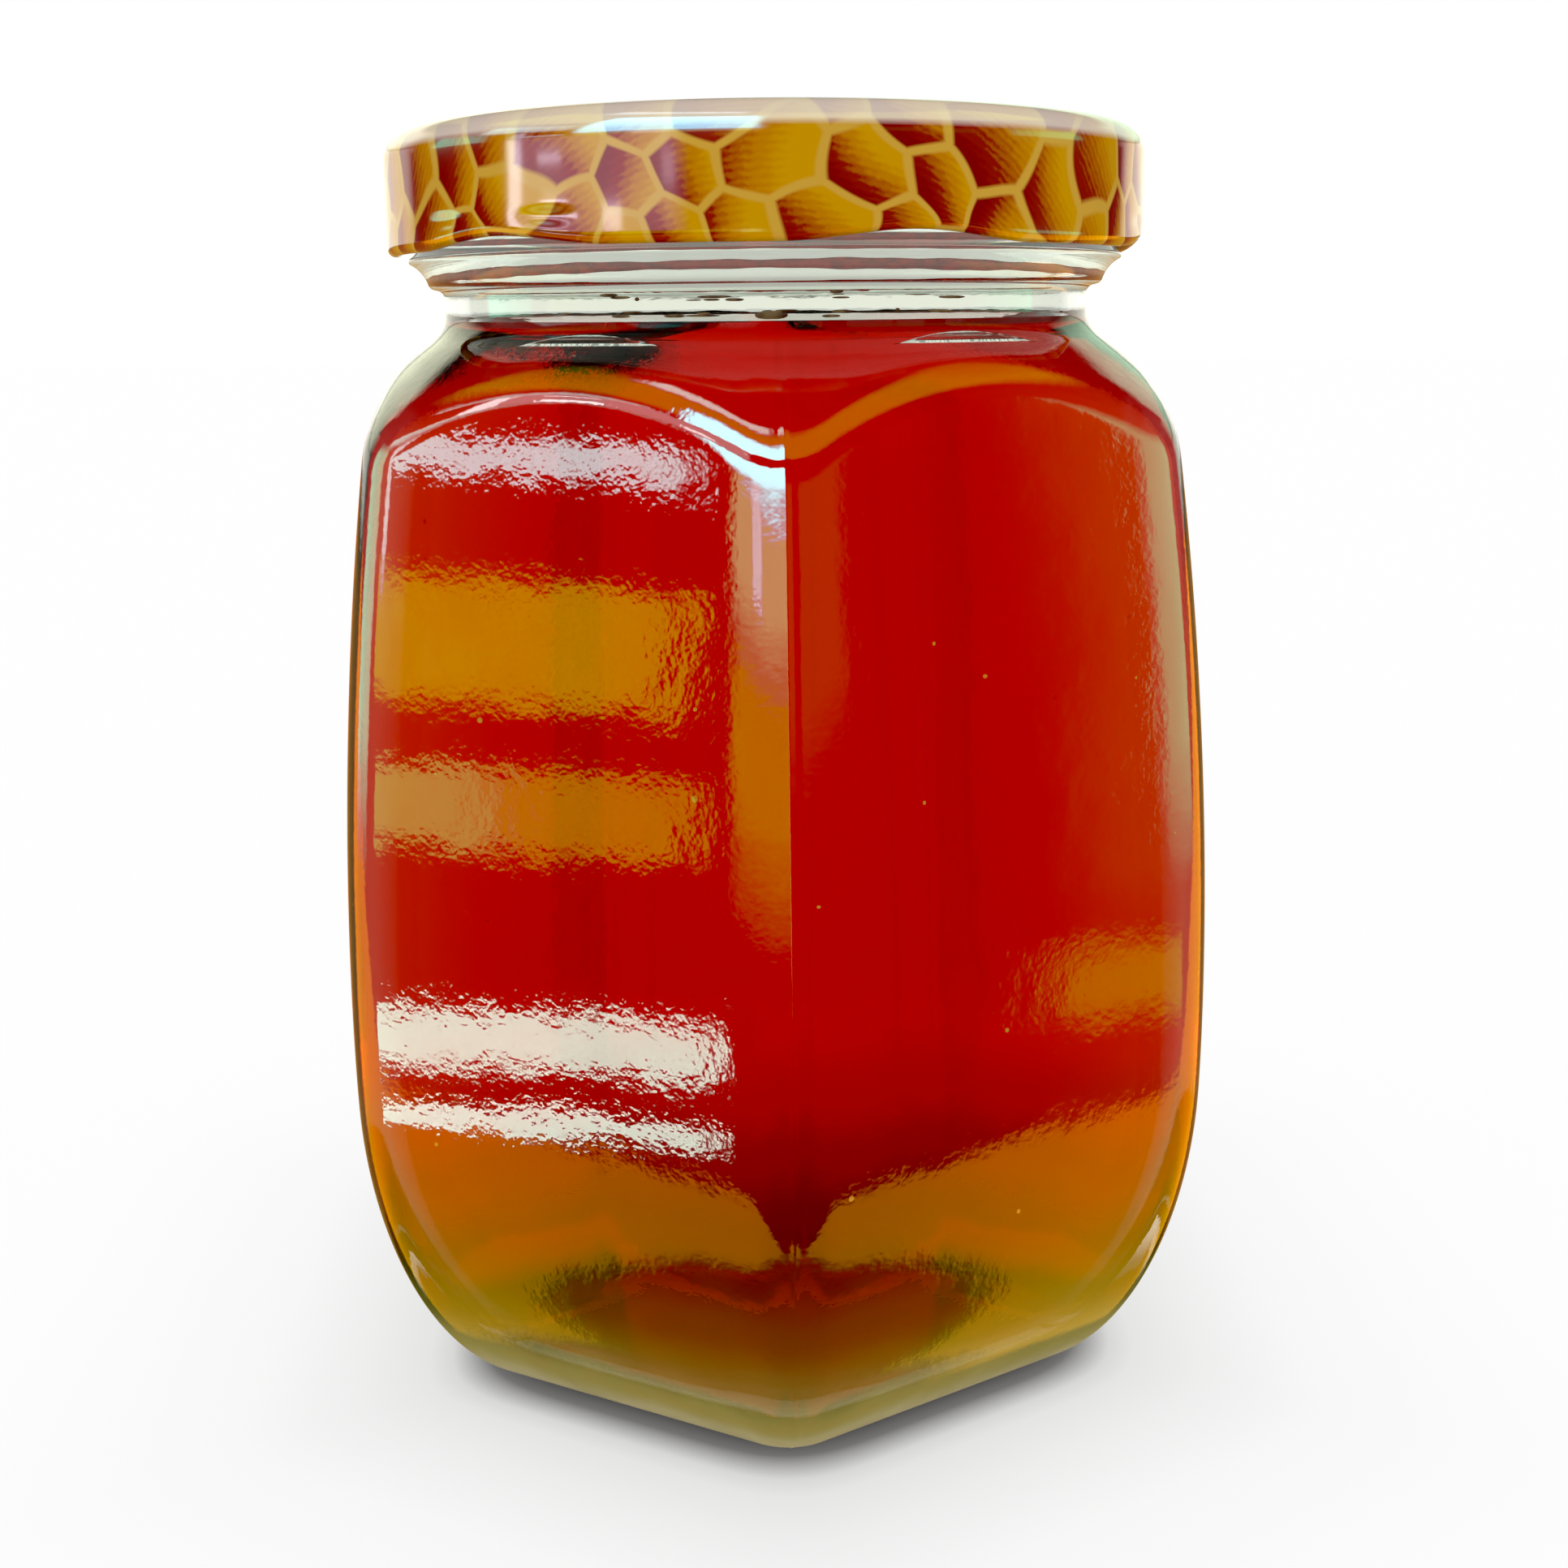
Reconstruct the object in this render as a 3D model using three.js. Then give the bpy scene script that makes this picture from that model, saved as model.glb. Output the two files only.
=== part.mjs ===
// A hexagonal glass honey jar, filled with honey and shut by a twist-off metal lid.
// Millimetres, +Z up. The origin is the centre of the foot on the table, with one upright corner towards -Y.
import * as THREE from 'three';

const SIDES = 6;
const SECTOR = (2 * Math.PI) / SIDES;
const HALF_SECTOR = SECTOR / 2;

// Columns of facets in each of the six sectors: across the flat face, and round the upright corner
const FACE_COLUMNS = 6;
const CORNER_COLUMNS = 4;
const COLUMNS = SIDES * (FACE_COLUMNS + CORNER_COLUMNS);

// Rows of facets: degrees round the heel's quarter ellipse, heights up the wall, heights from the arched
// edge, and shares of the way over the shoulder and across the foot
const HEEL_STEPS = [0, 14, 28, 43, 59, 74, 90];
const WALL_HEIGHTS = [43.5, 60, 82, 99];
const ARCH_OFFSETS = [-4, -1.3, 0.2, 1.5];
const ARCH_CORNER_HEIGHT = 100;
const SHOULDER_SHARES = [0.4, 0.72, 1];
const DISH_SHARES = [0.3, 0.65, 1];

// Body: faces that bulge slightly, a soft heel below and a round shoulder above
const BODY_HALF_WIDTH = 47.8;
const BULGE_HEIGHT = 43.5;
const BULGE_ABOVE = 0.00104;
const BULGE_BELOW = 0.00164;
const HEEL_WIDTH = 12.6;
const HEEL_HEIGHT = 36.3;
const CORNER_RADIUS_LOW = 6.7;
const CORNER_RADIUS_HIGH = 9.0;
const CORNER_GROWS_TO = 80;
const SHOULDER_RADIUS = 65.5;
const SHOULDER_CENTRE = 65.9;
const SHOULDER_EDGE = 1.7;

// Foot: a flat ring to stand on, round a shallow push-up
const FOOT_RING_WIDTH = 2.6;
const PUSH_UP = 3.4;
const PUSH_UP_STEP = 0.6;
const PUSH_UP_SLOPE = 0.03;

// Glass and honey inside it
const WALL = 2.2;
const SHOULDER_WALL = 2.7;
const FLOOR = 7.5;
const INNER_CORNER_EXTRA = 10.5;
const INNER_HEEL_WIDTH = 17.0;
const INNER_HEEL_HEIGHT = 33.0;
const FLOOR_SCALE = 0.9;
const GAP = 0.35;
const HONEY_LEVEL = 119.6;
const HONEY_MIDDLE = 60;

// Neck, the bead below the lid, and the finish that the lid grips
const NECK_RADIUS = 36.4;
const NECK_FILLET = 2.0;
const NECK_FOOT = 120.6;
const NECK_TOP = 124.7;
const BEAD_FOOT_RADIUS = 38.1;
const BEAD_FOOT = 125.5;
const BEAD_RADIUS = 40.2;
const BEAD_TOP = 128.0;
const FINISH_RADIUS = 38.9;
const FINISH_FOOT = 129.4;
const RIM_HEIGHT = 140.0;
const RIM_ROUNDING = 1.3;
const MOUTH_RADIUS = 34.6;
const NECK_BORE_RADIUS = 33.6;
const BORE_FLARE = 1.0;

// Lid: a pressed shell with a rolled lower edge that rises at each of its lugs
const LID_RADIUS = 42.3;
const LID_TOP = 141.3;
const LID_EDGE = 128.4;
const LID_WALL = 0.8;
const LID_ROUNDING = 3.0;
const LID_RIM_WIDTH = 4.4;
const LID_RECESS = 0.7;
const CURL_RADIUS = 0.95;
const LUGS = 6;
const LUG_AZIMUTH = THREE.MathUtils.degToRad(-71.3);
const LUG_SPREAD = THREE.MathUtils.degToRad(19);
const LUG_RISE = 1.1;
const LUG_PRESS = 0.35;
const LUG_PRESS_OFFSET = THREE.MathUtils.degToRad(10);
const LUG_PRESS_SPREAD = THREE.MathUtils.degToRad(7);
const LUG_PRESS_HEIGHT = 130.9;
const LUG_PRESS_REACH = 1.6;

const glassMaterial = new THREE.MeshStandardMaterial({
  color: 0xd5dccb,
  roughness: 0.05,
  metalness: 0,
  transparent: true,
  opacity: 0.35,
});
const honeyMaterial = new THREE.MeshStandardMaterial({ color: 0xb83a04, roughness: 0.1, metalness: 0 });
const lidMaterial = new THREE.MeshStandardMaterial({ color: 0xd9a32b, roughness: 0.25, metalness: 0.3 });

// The lesser of two distances, with the edge where they meet rounded over a band
function softMin(a, b, band) {
  const near = Math.max(band - Math.abs(a - b), 0) / band;
  return Math.min(a, b) - (near * near * band) / 4;
}

// A smooth bump: 1 at the middle, 0 at the given spread to either side
function bump(offset, spread) {
  const share = Math.min(Math.abs(offset) / spread, 1);
  return 0.5 + 0.5 * Math.cos(Math.PI * share);
}

// Angle from the middle of the nearest of so many equal sectors, the first one centred on an azimuth
function fromNearest(azimuth, first, count) {
  const step = (2 * Math.PI) / count;
  const turn = (azimuth - first) / step;
  return (turn - Math.round(turn)) * step;
}

// Distance from the axis to a hexagon with rounded corners, at an angle from a face's normal
function hexagonRadius(angle, halfWidth, cornerRadius) {
  const off = Math.abs(angle);
  if (off < flatEnd(halfWidth, cornerRadius)) {
    return halfWidth / Math.cos(off);
  }
  const centre = (halfWidth - cornerRadius) / Math.cos(HALF_SECTOR);
  const turn = HALF_SECTOR - off;
  const across = centre * Math.sin(turn);
  return centre * Math.cos(turn) + Math.sqrt(cornerRadius ** 2 - across ** 2);
}

// The angle at which a hexagon's flat side meets its rounded corner
function flatEnd(halfWidth, cornerRadius) {
  return Math.atan2((halfWidth - cornerRadius) * Math.tan(HALF_SECTOR), halfWidth);
}

// One skin of the jar's body, its outside or its cavity, as radius by height and by angle from a face
function bodyForm({ wall, floor, heelWidth, heelHeight, shoulderRadius, cornerExtra }) {
  const halfWidth = (z) => {
    const bulge = z > BULGE_HEIGHT ? BULGE_ABOVE : BULGE_BELOW;
    const climb = THREE.MathUtils.clamp((z - floor) / heelHeight, 0, 1);
    const heel = heelWidth * (1 - Math.sqrt(1 - (1 - climb) ** 2));
    return BODY_HALF_WIDTH - wall - bulge * (z - BULGE_HEIGHT) ** 2 - heel;
  };
  const cornerRadius = (z) => {
    const share = THREE.MathUtils.clamp(z / CORNER_GROWS_TO, 0, 1);
    return THREE.MathUtils.lerp(CORNER_RADIUS_LOW, CORNER_RADIUS_HIGH, share) + cornerExtra;
  };
  const shoulder = (z) => Math.sqrt(Math.max(shoulderRadius ** 2 - (z - SHOULDER_CENTRE) ** 2, 0));
  const wallRadius = (angle, z) => hexagonRadius(angle, halfWidth(z), cornerRadius(z));
  const radius = (angle, z) => {
    if (z < SHOULDER_CENTRE) {
      return wallRadius(angle, z);
    }
    return softMin(shoulder(z), wallRadius(angle, z), SHOULDER_EDGE);
  };
  return { floor, heelHeight, shoulderRadius, halfWidth, cornerRadius, shoulder, wallRadius, radius };
}

// Height at which the round shoulder cuts the hexagonal wall, found by halving: an arch over each face
function archHeight(form, angle) {
  let low = SHOULDER_CENTRE;
  let high = SHOULDER_CENTRE + form.shoulderRadius;
  for (let step = 0; step < 40; step += 1) {
    const middle = (low + high) / 2;
    if (form.shoulder(middle) > form.wallRadius(angle, middle)) {
      low = middle;
    } else {
      high = middle;
    }
  }
  return low;
}

// Azimuth and angle from the face's normal of every column, following the corners or evenly spread
function columns(form, z, roundness) {
  const flat = flatEnd(form.halfWidth(z), form.cornerRadius(z));
  const perSide = FACE_COLUMNS + CORNER_COLUMNS;
  const list = [];
  for (let side = 0; side < SIDES; side += 1) {
    for (let k = 0; k < perSide; k += 1) {
      const onFace = k <= FACE_COLUMNS;
      const faceAngle = flat * ((2 * k) / FACE_COLUMNS - 1);
      const cornerShare = (k - FACE_COLUMNS) / CORNER_COLUMNS;
      const shaped = onFace ? faceAngle : flat + cornerShare * 2 * (HALF_SECTOR - flat);
      const even = (SECTOR * (k - FACE_COLUMNS / 2)) / perSide;
      const angle = THREE.MathUtils.lerp(shaped, even, roundness);
      const folded = angle > HALF_SECTOR ? angle - SECTOR : angle;
      list.push({ azimuth: side * SECTOR + angle, angle: folded });
    }
  }
  return list;
}

// A ring of points round the axis, from a list of columns, each with its own radius and height
function ring(list, place) {
  return list.map((column) => {
    const { r, z } = place(column);
    return new THREE.Vector3(r * Math.cos(column.azimuth), r * Math.sin(column.azimuth), z);
  });
}

function roundRing(form, r, z) {
  return ring(columns(form, SHOULDER_CENTRE, 1), () => ({ r, z }));
}

// The push-up under the foot, or the raised floor above it: scaled hexagons that rise to the middle
function dishRings(form, scale, step) {
  const list = columns(form, form.floor, 0);
  return DISH_SHARES.map((share) =>
    ring(list, ({ angle }) => ({
      r: form.radius(angle, form.floor) * scale * share,
      z: form.floor + step + (PUSH_UP - step) * (1 - share ** 2),
    })),
  );
}

// The flat hexagon's inner edge, where the foot begins to rise
function lipRing(form, scale) {
  const list = columns(form, form.floor, 0);
  return ring(list, ({ angle }) => ({ r: form.radius(angle, form.floor) * scale, z: form.floor }));
}

// The form's outline at one height
function levelRing(form, z) {
  return ring(columns(form, z, 0), ({ angle }) => ({ r: form.radius(angle, z), z }));
}

// The heel, from the floor up to where the wall is upright, in steps round its quarter ellipse
function heelRings(form) {
  return HEEL_STEPS.map((degrees) => {
    const z = form.floor + form.heelHeight * (1 - Math.cos(THREE.MathUtils.degToRad(degrees)));
    return levelRing(form, z);
  });
}

function wallRings(form) {
  return WALL_HEIGHTS.map((z) => levelRing(form, z));
}

// The arched edge over each face and the shoulder above it, up to a level top
function shoulderRings(form, top) {
  const edge = ARCH_OFFSETS.map((offset) => ({ offset, share: 0 }));
  const over = SHOULDER_SHARES.map((share) => ({ offset: ARCH_OFFSETS.at(-1), share }));
  return [...edge, ...over].map(({ offset, share }) => {
    const list = columns(form, ARCH_CORNER_HEIGHT, share);
    return ring(list, ({ angle }) => {
      const z = THREE.MathUtils.lerp(archHeight(form, angle) + offset, top, share);
      return { r: form.radius(angle, z), z };
    });
  });
}

// A closed mesh from a point on the axis, through rings of the same size, to another point on the axis
function closedSkin(first, rings, last) {
  const points = [first, ...rings.flat(), last];
  const at = (row, column) => 1 + row * COLUMNS + (column % COLUMNS);
  const index = [];
  for (let column = 0; column < COLUMNS; column += 1) {
    index.push(0, at(0, column + 1), at(0, column));
    for (let row = 0; row + 1 < rings.length; row += 1) {
      index.push(at(row, column), at(row, column + 1), at(row + 1, column + 1));
      index.push(at(row, column), at(row + 1, column + 1), at(row + 1, column));
    }
    index.push(points.length - 1, at(rings.length - 1, column), at(rings.length - 1, column + 1));
  }
  const geometry = new THREE.BufferGeometry().setFromPoints(points);
  geometry.setIndex(index);
  geometry.computeVertexNormals();
  return geometry;
}

function onAxis(z) {
  return new THREE.Vector3(0, 0, z);
}

// Outline of the neck, bead and finish, from the shoulder up to the rim and in over it
function neckPath() {
  const path = new THREE.Path();
  path.moveTo(NECK_RADIUS + 0.25, NECK_FOOT + 0.4);
  path.lineTo(NECK_RADIUS, NECK_FOOT + 1.2);
  path.lineTo(NECK_RADIUS, NECK_TOP);
  path.quadraticCurveTo(BEAD_FOOT_RADIUS - 0.2, NECK_TOP + 0.1, BEAD_FOOT_RADIUS, BEAD_FOOT);
  path.quadraticCurveTo(BEAD_FOOT_RADIUS + 0.6, BEAD_TOP - 0.7, BEAD_RADIUS, BEAD_TOP);
  path.lineTo(FINISH_RADIUS + 0.6, BEAD_TOP + 0.7);
  path.lineTo(FINISH_RADIUS, FINISH_FOOT);
  path.lineTo(FINISH_RADIUS, RIM_HEIGHT - RIM_ROUNDING);
  path.quadraticCurveTo(FINISH_RADIUS, RIM_HEIGHT, FINISH_RADIUS - RIM_ROUNDING, RIM_HEIGHT);
  path.lineTo(MOUTH_RADIUS + RIM_ROUNDING, RIM_HEIGHT);
  path.quadraticCurveTo(MOUTH_RADIUS, RIM_HEIGHT, MOUTH_RADIUS, RIM_HEIGHT - RIM_ROUNDING);
  path.lineTo(NECK_BORE_RADIUS, NECK_TOP);
  return path;
}

// Height of a form's round shoulder at a distance from the axis
function shoulderHeight(form, r) {
  return SHOULDER_CENTRE + Math.sqrt(form.shoulderRadius ** 2 - r ** 2);
}

function outsideForm() {
  return bodyForm({
    wall: 0,
    floor: 0,
    heelWidth: HEEL_WIDTH,
    heelHeight: HEEL_HEIGHT,
    shoulderRadius: SHOULDER_RADIUS,
    cornerExtra: 0,
  });
}

function cavityForm() {
  return bodyForm({
    wall: WALL,
    floor: FLOOR,
    heelWidth: INNER_HEEL_WIDTH,
    heelHeight: INNER_HEEL_HEIGHT,
    shoulderRadius: SHOULDER_RADIUS - SHOULDER_WALL,
    cornerExtra: INNER_CORNER_EXTRA,
  });
}

// The jar's body from the middle of its foot up to where the neck's fillet begins
function outsideRings() {
  const form = outsideForm();
  const scale = 1 - FOOT_RING_WIDTH / form.halfWidth(0);
  const foot = [...dishRings(form, scale - PUSH_UP_SLOPE, PUSH_UP_STEP), lipRing(form, scale)];
  const top = shoulderHeight(form, NECK_RADIUS + NECK_FILLET);
  return [...foot, ...heelRings(form), ...wallRings(form), ...shoulderRings(form, top)];
}

// The cavity from the middle of its floor up to the bore of the neck
function cavityRings() {
  const form = cavityForm();
  const top = shoulderHeight(form, NECK_BORE_RADIUS + BORE_FLARE);
  const low = [...dishRings(form, FLOOR_SCALE, 0), ...heelRings(form)];
  return [...low, ...wallRings(form), ...shoulderRings(form, top)];
}

function glassJar() {
  const form = outsideForm();
  const neck = neckPath().getPoints(3).map(({ x, y }) => roundRing(form, x, y));
  const rings = [...outsideRings(), ...neck, ...cavityRings().reverse()];
  return closedSkin(onAxis(PUSH_UP), rings, onAxis(FLOOR + PUSH_UP));
}

// The honey: the cavity up to the level, drawn in towards its middle so that it just clears the glass
function honey() {
  const middle = onAxis(HONEY_MIDDLE);
  const drawIn = (point) => point.clone().lerp(middle, GAP / NECK_BORE_RADIUS);
  const rings = cavityRings().map((points) => points.map(drawIn));
  const level = roundRing(cavityForm(), NECK_BORE_RADIUS + BORE_FLARE / 2 - GAP, HONEY_LEVEL);
  return closedSkin(drawIn(onAxis(FLOOR + PUSH_UP)), [...rings, level], onAxis(HONEY_LEVEL));
}

// Outline of the lid's section, from the middle of its top, down the skirt, round the curl and back under
function lidPath() {
  const rimInner = LID_RADIUS - LID_ROUNDING - LID_RIM_WIDTH;
  const curlCentre = LID_RADIUS - CURL_RADIUS;
  const inside = LID_RADIUS - LID_WALL;
  const path = new THREE.Path();
  path.moveTo(rimInner * 0.5, LID_TOP - LID_RECESS);
  path.lineTo(rimInner - 1.2, LID_TOP - LID_RECESS);
  path.lineTo(rimInner, LID_TOP);
  path.lineTo(LID_RADIUS - LID_ROUNDING, LID_TOP);
  path.absarc(LID_RADIUS - LID_ROUNDING, LID_TOP - LID_ROUNDING, LID_ROUNDING, Math.PI / 2, 0, true);
  path.lineTo(LID_RADIUS, LUG_PRESS_HEIGHT + LUG_PRESS_REACH);
  path.lineTo(LID_RADIUS, LUG_PRESS_HEIGHT);
  path.absarc(curlCentre, LID_EDGE + CURL_RADIUS, CURL_RADIUS, 0, -Math.PI, true);
  path.lineTo(inside, LID_EDGE + 3 * CURL_RADIUS);
  path.lineTo(inside, LID_TOP - LID_ROUNDING);
  path.lineTo(LID_RADIUS - LID_ROUNDING, LID_TOP - LID_WALL);
  path.lineTo(rimInner + 0.4, LID_TOP - LID_WALL);
  path.lineTo(rimInner - 0.8, LID_TOP - LID_RECESS - LID_WALL);
  return path;
}

// The lid's lower edge rises over each lug, and is pressed in at either end of it
function pressLug({ azimuth }, r, z) {
  const offset = fromNearest(azimuth, LUG_AZIMUTH, LUGS);
  const low = bump(Math.max(z - LID_EDGE, 0), LUG_PRESS_HEIGHT - LID_EDGE + LUG_PRESS_REACH);
  const rise = LUG_RISE * bump(offset, LUG_SPREAD) * low;
  const beside = bump(Math.abs(offset) - LUG_PRESS_OFFSET, LUG_PRESS_SPREAD);
  const press = LUG_PRESS * beside * bump(z - LUG_PRESS_HEIGHT, LUG_PRESS_REACH);
  return { r: r > LID_RADIUS - LID_WALL / 2 ? r - press : r, z: z + rise };
}

function lid() {
  const list = columns(outsideForm(), SHOULDER_CENTRE, 1);
  const outline = lidPath().getPoints(4).reverse();
  const rings = outline.map(({ x, y }) => ring(list, (column) => pressLug(column, x, y)));
  return closedSkin(onAxis(LID_TOP - LID_RECESS - LID_WALL), rings, onAxis(LID_TOP - LID_RECESS));
}

function named(name, geometry, material) {
  const mesh = new THREE.Mesh(geometry, material);
  mesh.name = name;
  return mesh;
}

const jar = new THREE.Group();
jar.add(named('glass_jar', glassJar(), glassMaterial));
jar.add(named('honey', honey(), honeyMaterial));
jar.add(named('lid', lid(), lidMaterial));

export default jar;
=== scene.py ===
"""Looks of a hexagonal honey jar: fine glass, honey, bubbles and a printed lid, in soft studio light."""

import math

import bpy
import numpy as np
from mathutils import Matrix, Vector


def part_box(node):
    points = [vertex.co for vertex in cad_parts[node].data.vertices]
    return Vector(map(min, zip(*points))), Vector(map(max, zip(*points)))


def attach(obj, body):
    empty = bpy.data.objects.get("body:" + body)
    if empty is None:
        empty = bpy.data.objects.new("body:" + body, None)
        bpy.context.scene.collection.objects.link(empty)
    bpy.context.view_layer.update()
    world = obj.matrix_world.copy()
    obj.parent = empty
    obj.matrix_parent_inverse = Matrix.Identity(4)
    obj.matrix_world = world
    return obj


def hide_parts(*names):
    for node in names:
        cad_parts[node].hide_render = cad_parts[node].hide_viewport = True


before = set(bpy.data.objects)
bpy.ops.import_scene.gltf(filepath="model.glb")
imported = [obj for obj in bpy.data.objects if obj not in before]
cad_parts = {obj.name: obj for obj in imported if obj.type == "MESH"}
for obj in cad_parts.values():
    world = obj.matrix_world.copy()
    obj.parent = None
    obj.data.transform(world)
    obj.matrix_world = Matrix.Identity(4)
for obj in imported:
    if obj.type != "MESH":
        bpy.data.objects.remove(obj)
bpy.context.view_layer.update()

MM = 0.001
TAU = 2 * math.pi

# The jar's own sizes in millimetres, from the frame where it has them
JAR_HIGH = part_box("glass_jar")[1] / MM
LID_LOW, LID_HIGH = (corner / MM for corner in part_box("lid"))
HONEY_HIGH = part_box("honey")[1] / MM

SIDES = 6
SECTOR = TAU / SIDES

# Fineness of the body's mesh: columns round it, crowded at the corners' middles, and rings up it
FACE_COLUMNS = 22
CORNER_COLUMNS = 20
COLUMN_CROWDING = 1.6
UNDERSIDE_RINGS = 14
FIRST_RING = 0.06
HEEL_RINGS = 40
WALL_RINGS = 40
ARCH_RINGS = 46
SHOULDER_RINGS = 16
NECK_FOOT_RINGS = 4
# The rings follow the arches from below them to above them, on the columns of one height
ARCH_BELOW = 6
ARCH_ABOVE = 4
ARCH_COLUMNS_AT = 100.0
HALVINGS = 40

# Outside of the body, in millimetres
SEAM_ROOM = 0.1
BODY_HALF_WIDTH = JAR_HIGH.x - SEAM_ROOM
BULGE_HEIGHT = 43.5
BULGE_ABOVE = 0.00104
BULGE_BELOW = 0.00164
HEEL_WIDTH = 12.6
HEEL_HEIGHT = 36.3
CORNER_RADIUS_LOW = 6.7
CORNER_RADIUS_HIGH = 9.0
CORNER_GROWS_TO = 80.0
SHOULDER_RADIUS = 65.5
SHOULDER_CENTRE = 65.9
ARCH_BEVEL = 0.6
ARCH_EDGE = 0.7
SEAM_HEIGHT = 0.1
SEAM_WIDTH = 0.35

# Underside of the foot
FOOT_RING_WIDTH = 2.6
PUSH_UP = 3.4
PUSH_UP_STEP = 0.6
PUSH_UP_SLOPE = 0.03

# Cavity, and the honey in it
WALL = 2.2
SHOULDER_WALL = 2.7
FLOOR = 7.5
FLOOR_SCALE = 0.9
INNER_CORNER_EXTRA = 10.5
INNER_HEEL_WIDTH = 17.0
INNER_HEEL_HEIGHT = 33.0
INTO_WALL = 0.15
MENISCUS_RISE = 1.3
MENISCUS_WIDTH = 2.2

# Neck, bead, finish and bore
NECK_RADIUS = 36.4
NECK_FILLET = 2.0
NECK_FOOT = 120.6
NECK_TOP = 124.7
BEAD_FOOT_RADIUS = 38.1
BEAD_FOOT = 125.5
BEAD_RADIUS = 40.2
BEAD_TOP = 128.0
FINISH_RADIUS = 38.9
FINISH_FOOT = 129.4
RIM_ROUNDING = 1.3
MOUTH_RADIUS = 34.6
NECK_BORE_RADIUS = 33.6
BORE_FLARE = 1.0

# Lid, with its lugs, and the flat blank that carries its print
LID_RADIUS = LID_HIGH.x
LID_TOP = LID_HIGH.z
LID_EDGE = LID_LOW.z
LID_WALL = 0.8
LID_ROUNDING = 3.0
LID_RIM_WIDTH = 4.4
LID_RECESS = 0.7
CURL_RADIUS = 0.95
LID_COLUMNS = 540
LID_INSIDE_RINGS = 20
LUGS = 6
LUG_AZIMUTH = math.radians(-71.3)
LUG_SPREAD = math.radians(19)
LUG_RISE = 1.1
LUG_PRESS = 0.15
LUG_PRESS_OFFSET = math.radians(10)
LUG_PRESS_SPREAD = math.radians(7)
LUG_PRESS_HEIGHT = 130.9
LUG_PRESS_REACH = 1.6
BLANK_SIZE = 130.0

# Camera: fitted to the photograph, in millimetres and degrees
CAMERA_ACROSS = -7.48
CAMERA_BACK = 226.7
CAMERA_HEIGHT = 121.4
CAMERA_PITCH = 13.64
CAMERA_TURN = -2.27
CAMERA_ROLL = -0.59
CAMERA_LENS = 44.03
SENSOR_WIDTH = 36.0
CLIP_START = 0.01


def soft_min(a, b, band):
    """The lesser of two distances, with the edge where they meet rounded over a band."""
    near = np.maximum(band - np.abs(a - b), 0) / band
    return np.minimum(a, b) - near * near * band / 4


def bump_curve(offset, spread):
    """A smooth bump: 1 at the middle, 0 at the given spread to either side."""
    share = np.minimum(np.abs(offset) / spread, 1)
    return 0.5 + 0.5 * np.cos(np.pi * share)


def flat_end(half, corner):
    """The angle from a face's normal at which a hexagon's flat side meets its rounded corner."""
    return np.arctan2((half - corner) * math.tan(SECTOR / 2), half)


def hexagon_radius(angle, half, corner):
    """Distance from the axis to a hexagon with rounded corners, at an angle from a face's normal."""
    off = np.abs(angle)
    centre = (half - corner) / math.cos(SECTOR / 2)
    turn = SECTOR / 2 - off
    rounded = centre * np.cos(turn) + np.sqrt(np.maximum(corner**2 - (centre * np.sin(turn)) ** 2, 0))
    return np.where(off < flat_end(half, corner), half / np.cos(off), rounded)


class BodyForm:
    """One skin of the jar's body, its outside or its cavity, as radius by height and by angle from a face."""

    def __init__(self, wall, floor, heel_width, heel_height, shoulder_radius, corner_extra):
        self.wall = wall
        self.floor = floor
        self.heel_width = heel_width
        self.heel_height = heel_height
        self.shoulder_radius = shoulder_radius
        self.corner_extra = corner_extra

    def half_width(self, z):
        bulge = np.where(z > BULGE_HEIGHT, BULGE_ABOVE, BULGE_BELOW)
        climb = np.clip((z - self.floor) / self.heel_height, 0, 1)
        heel = self.heel_width * (1 - np.sqrt(1 - (1 - climb) ** 2))
        return BODY_HALF_WIDTH - self.wall - bulge * (z - BULGE_HEIGHT) ** 2 - heel

    def corner_radius(self, z):
        share = np.clip(z / CORNER_GROWS_TO, 0, 1)
        return CORNER_RADIUS_LOW + (CORNER_RADIUS_HIGH - CORNER_RADIUS_LOW) * share + self.corner_extra

    def shoulder(self, z):
        over = np.maximum(z - SHOULDER_CENTRE, 0)
        return np.sqrt(np.maximum(self.shoulder_radius**2 - over**2, 0))

    def shoulder_height(self, r):
        return SHOULDER_CENTRE + math.sqrt(self.shoulder_radius**2 - r**2)

    def wall_radius(self, angle, z):
        return hexagon_radius(angle, self.half_width(z), self.corner_radius(z))

    def radius(self, angle, z):
        """The wall and the round shoulder, with a bevelled band between them that follows the arch."""
        wall = self.wall_radius(angle, z)
        shoulder = self.shoulder(z)
        band = (wall + shoulder) / 2 - ARCH_BEVEL
        return soft_min(soft_min(shoulder, band, ARCH_EDGE), soft_min(wall, band, ARCH_EDGE), ARCH_EDGE / 3)

    def arch(self, angle):
        """Height at which the shoulder cuts the wall, found by halving."""
        low = np.full_like(angle, SHOULDER_CENTRE)
        high = low + self.shoulder_radius
        for _ in range(HALVINGS):
            middle = (low + high) / 2
            below = self.shoulder(middle) > self.wall_radius(angle, middle)
            low = np.where(below, middle, low)
            high = np.where(below, high, middle)
        return low


OUTSIDE = BodyForm(0, 0, HEEL_WIDTH, HEEL_HEIGHT, SHOULDER_RADIUS, 0)


def cavity(into_wall):
    """The space inside the glass, widened so far into its wall."""
    shoulder = SHOULDER_RADIUS - SHOULDER_WALL + into_wall
    return BodyForm(
        WALL - into_wall, FLOOR - into_wall, INNER_HEEL_WIDTH, INNER_HEEL_HEIGHT, shoulder, INNER_CORNER_EXTRA
    )


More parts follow.
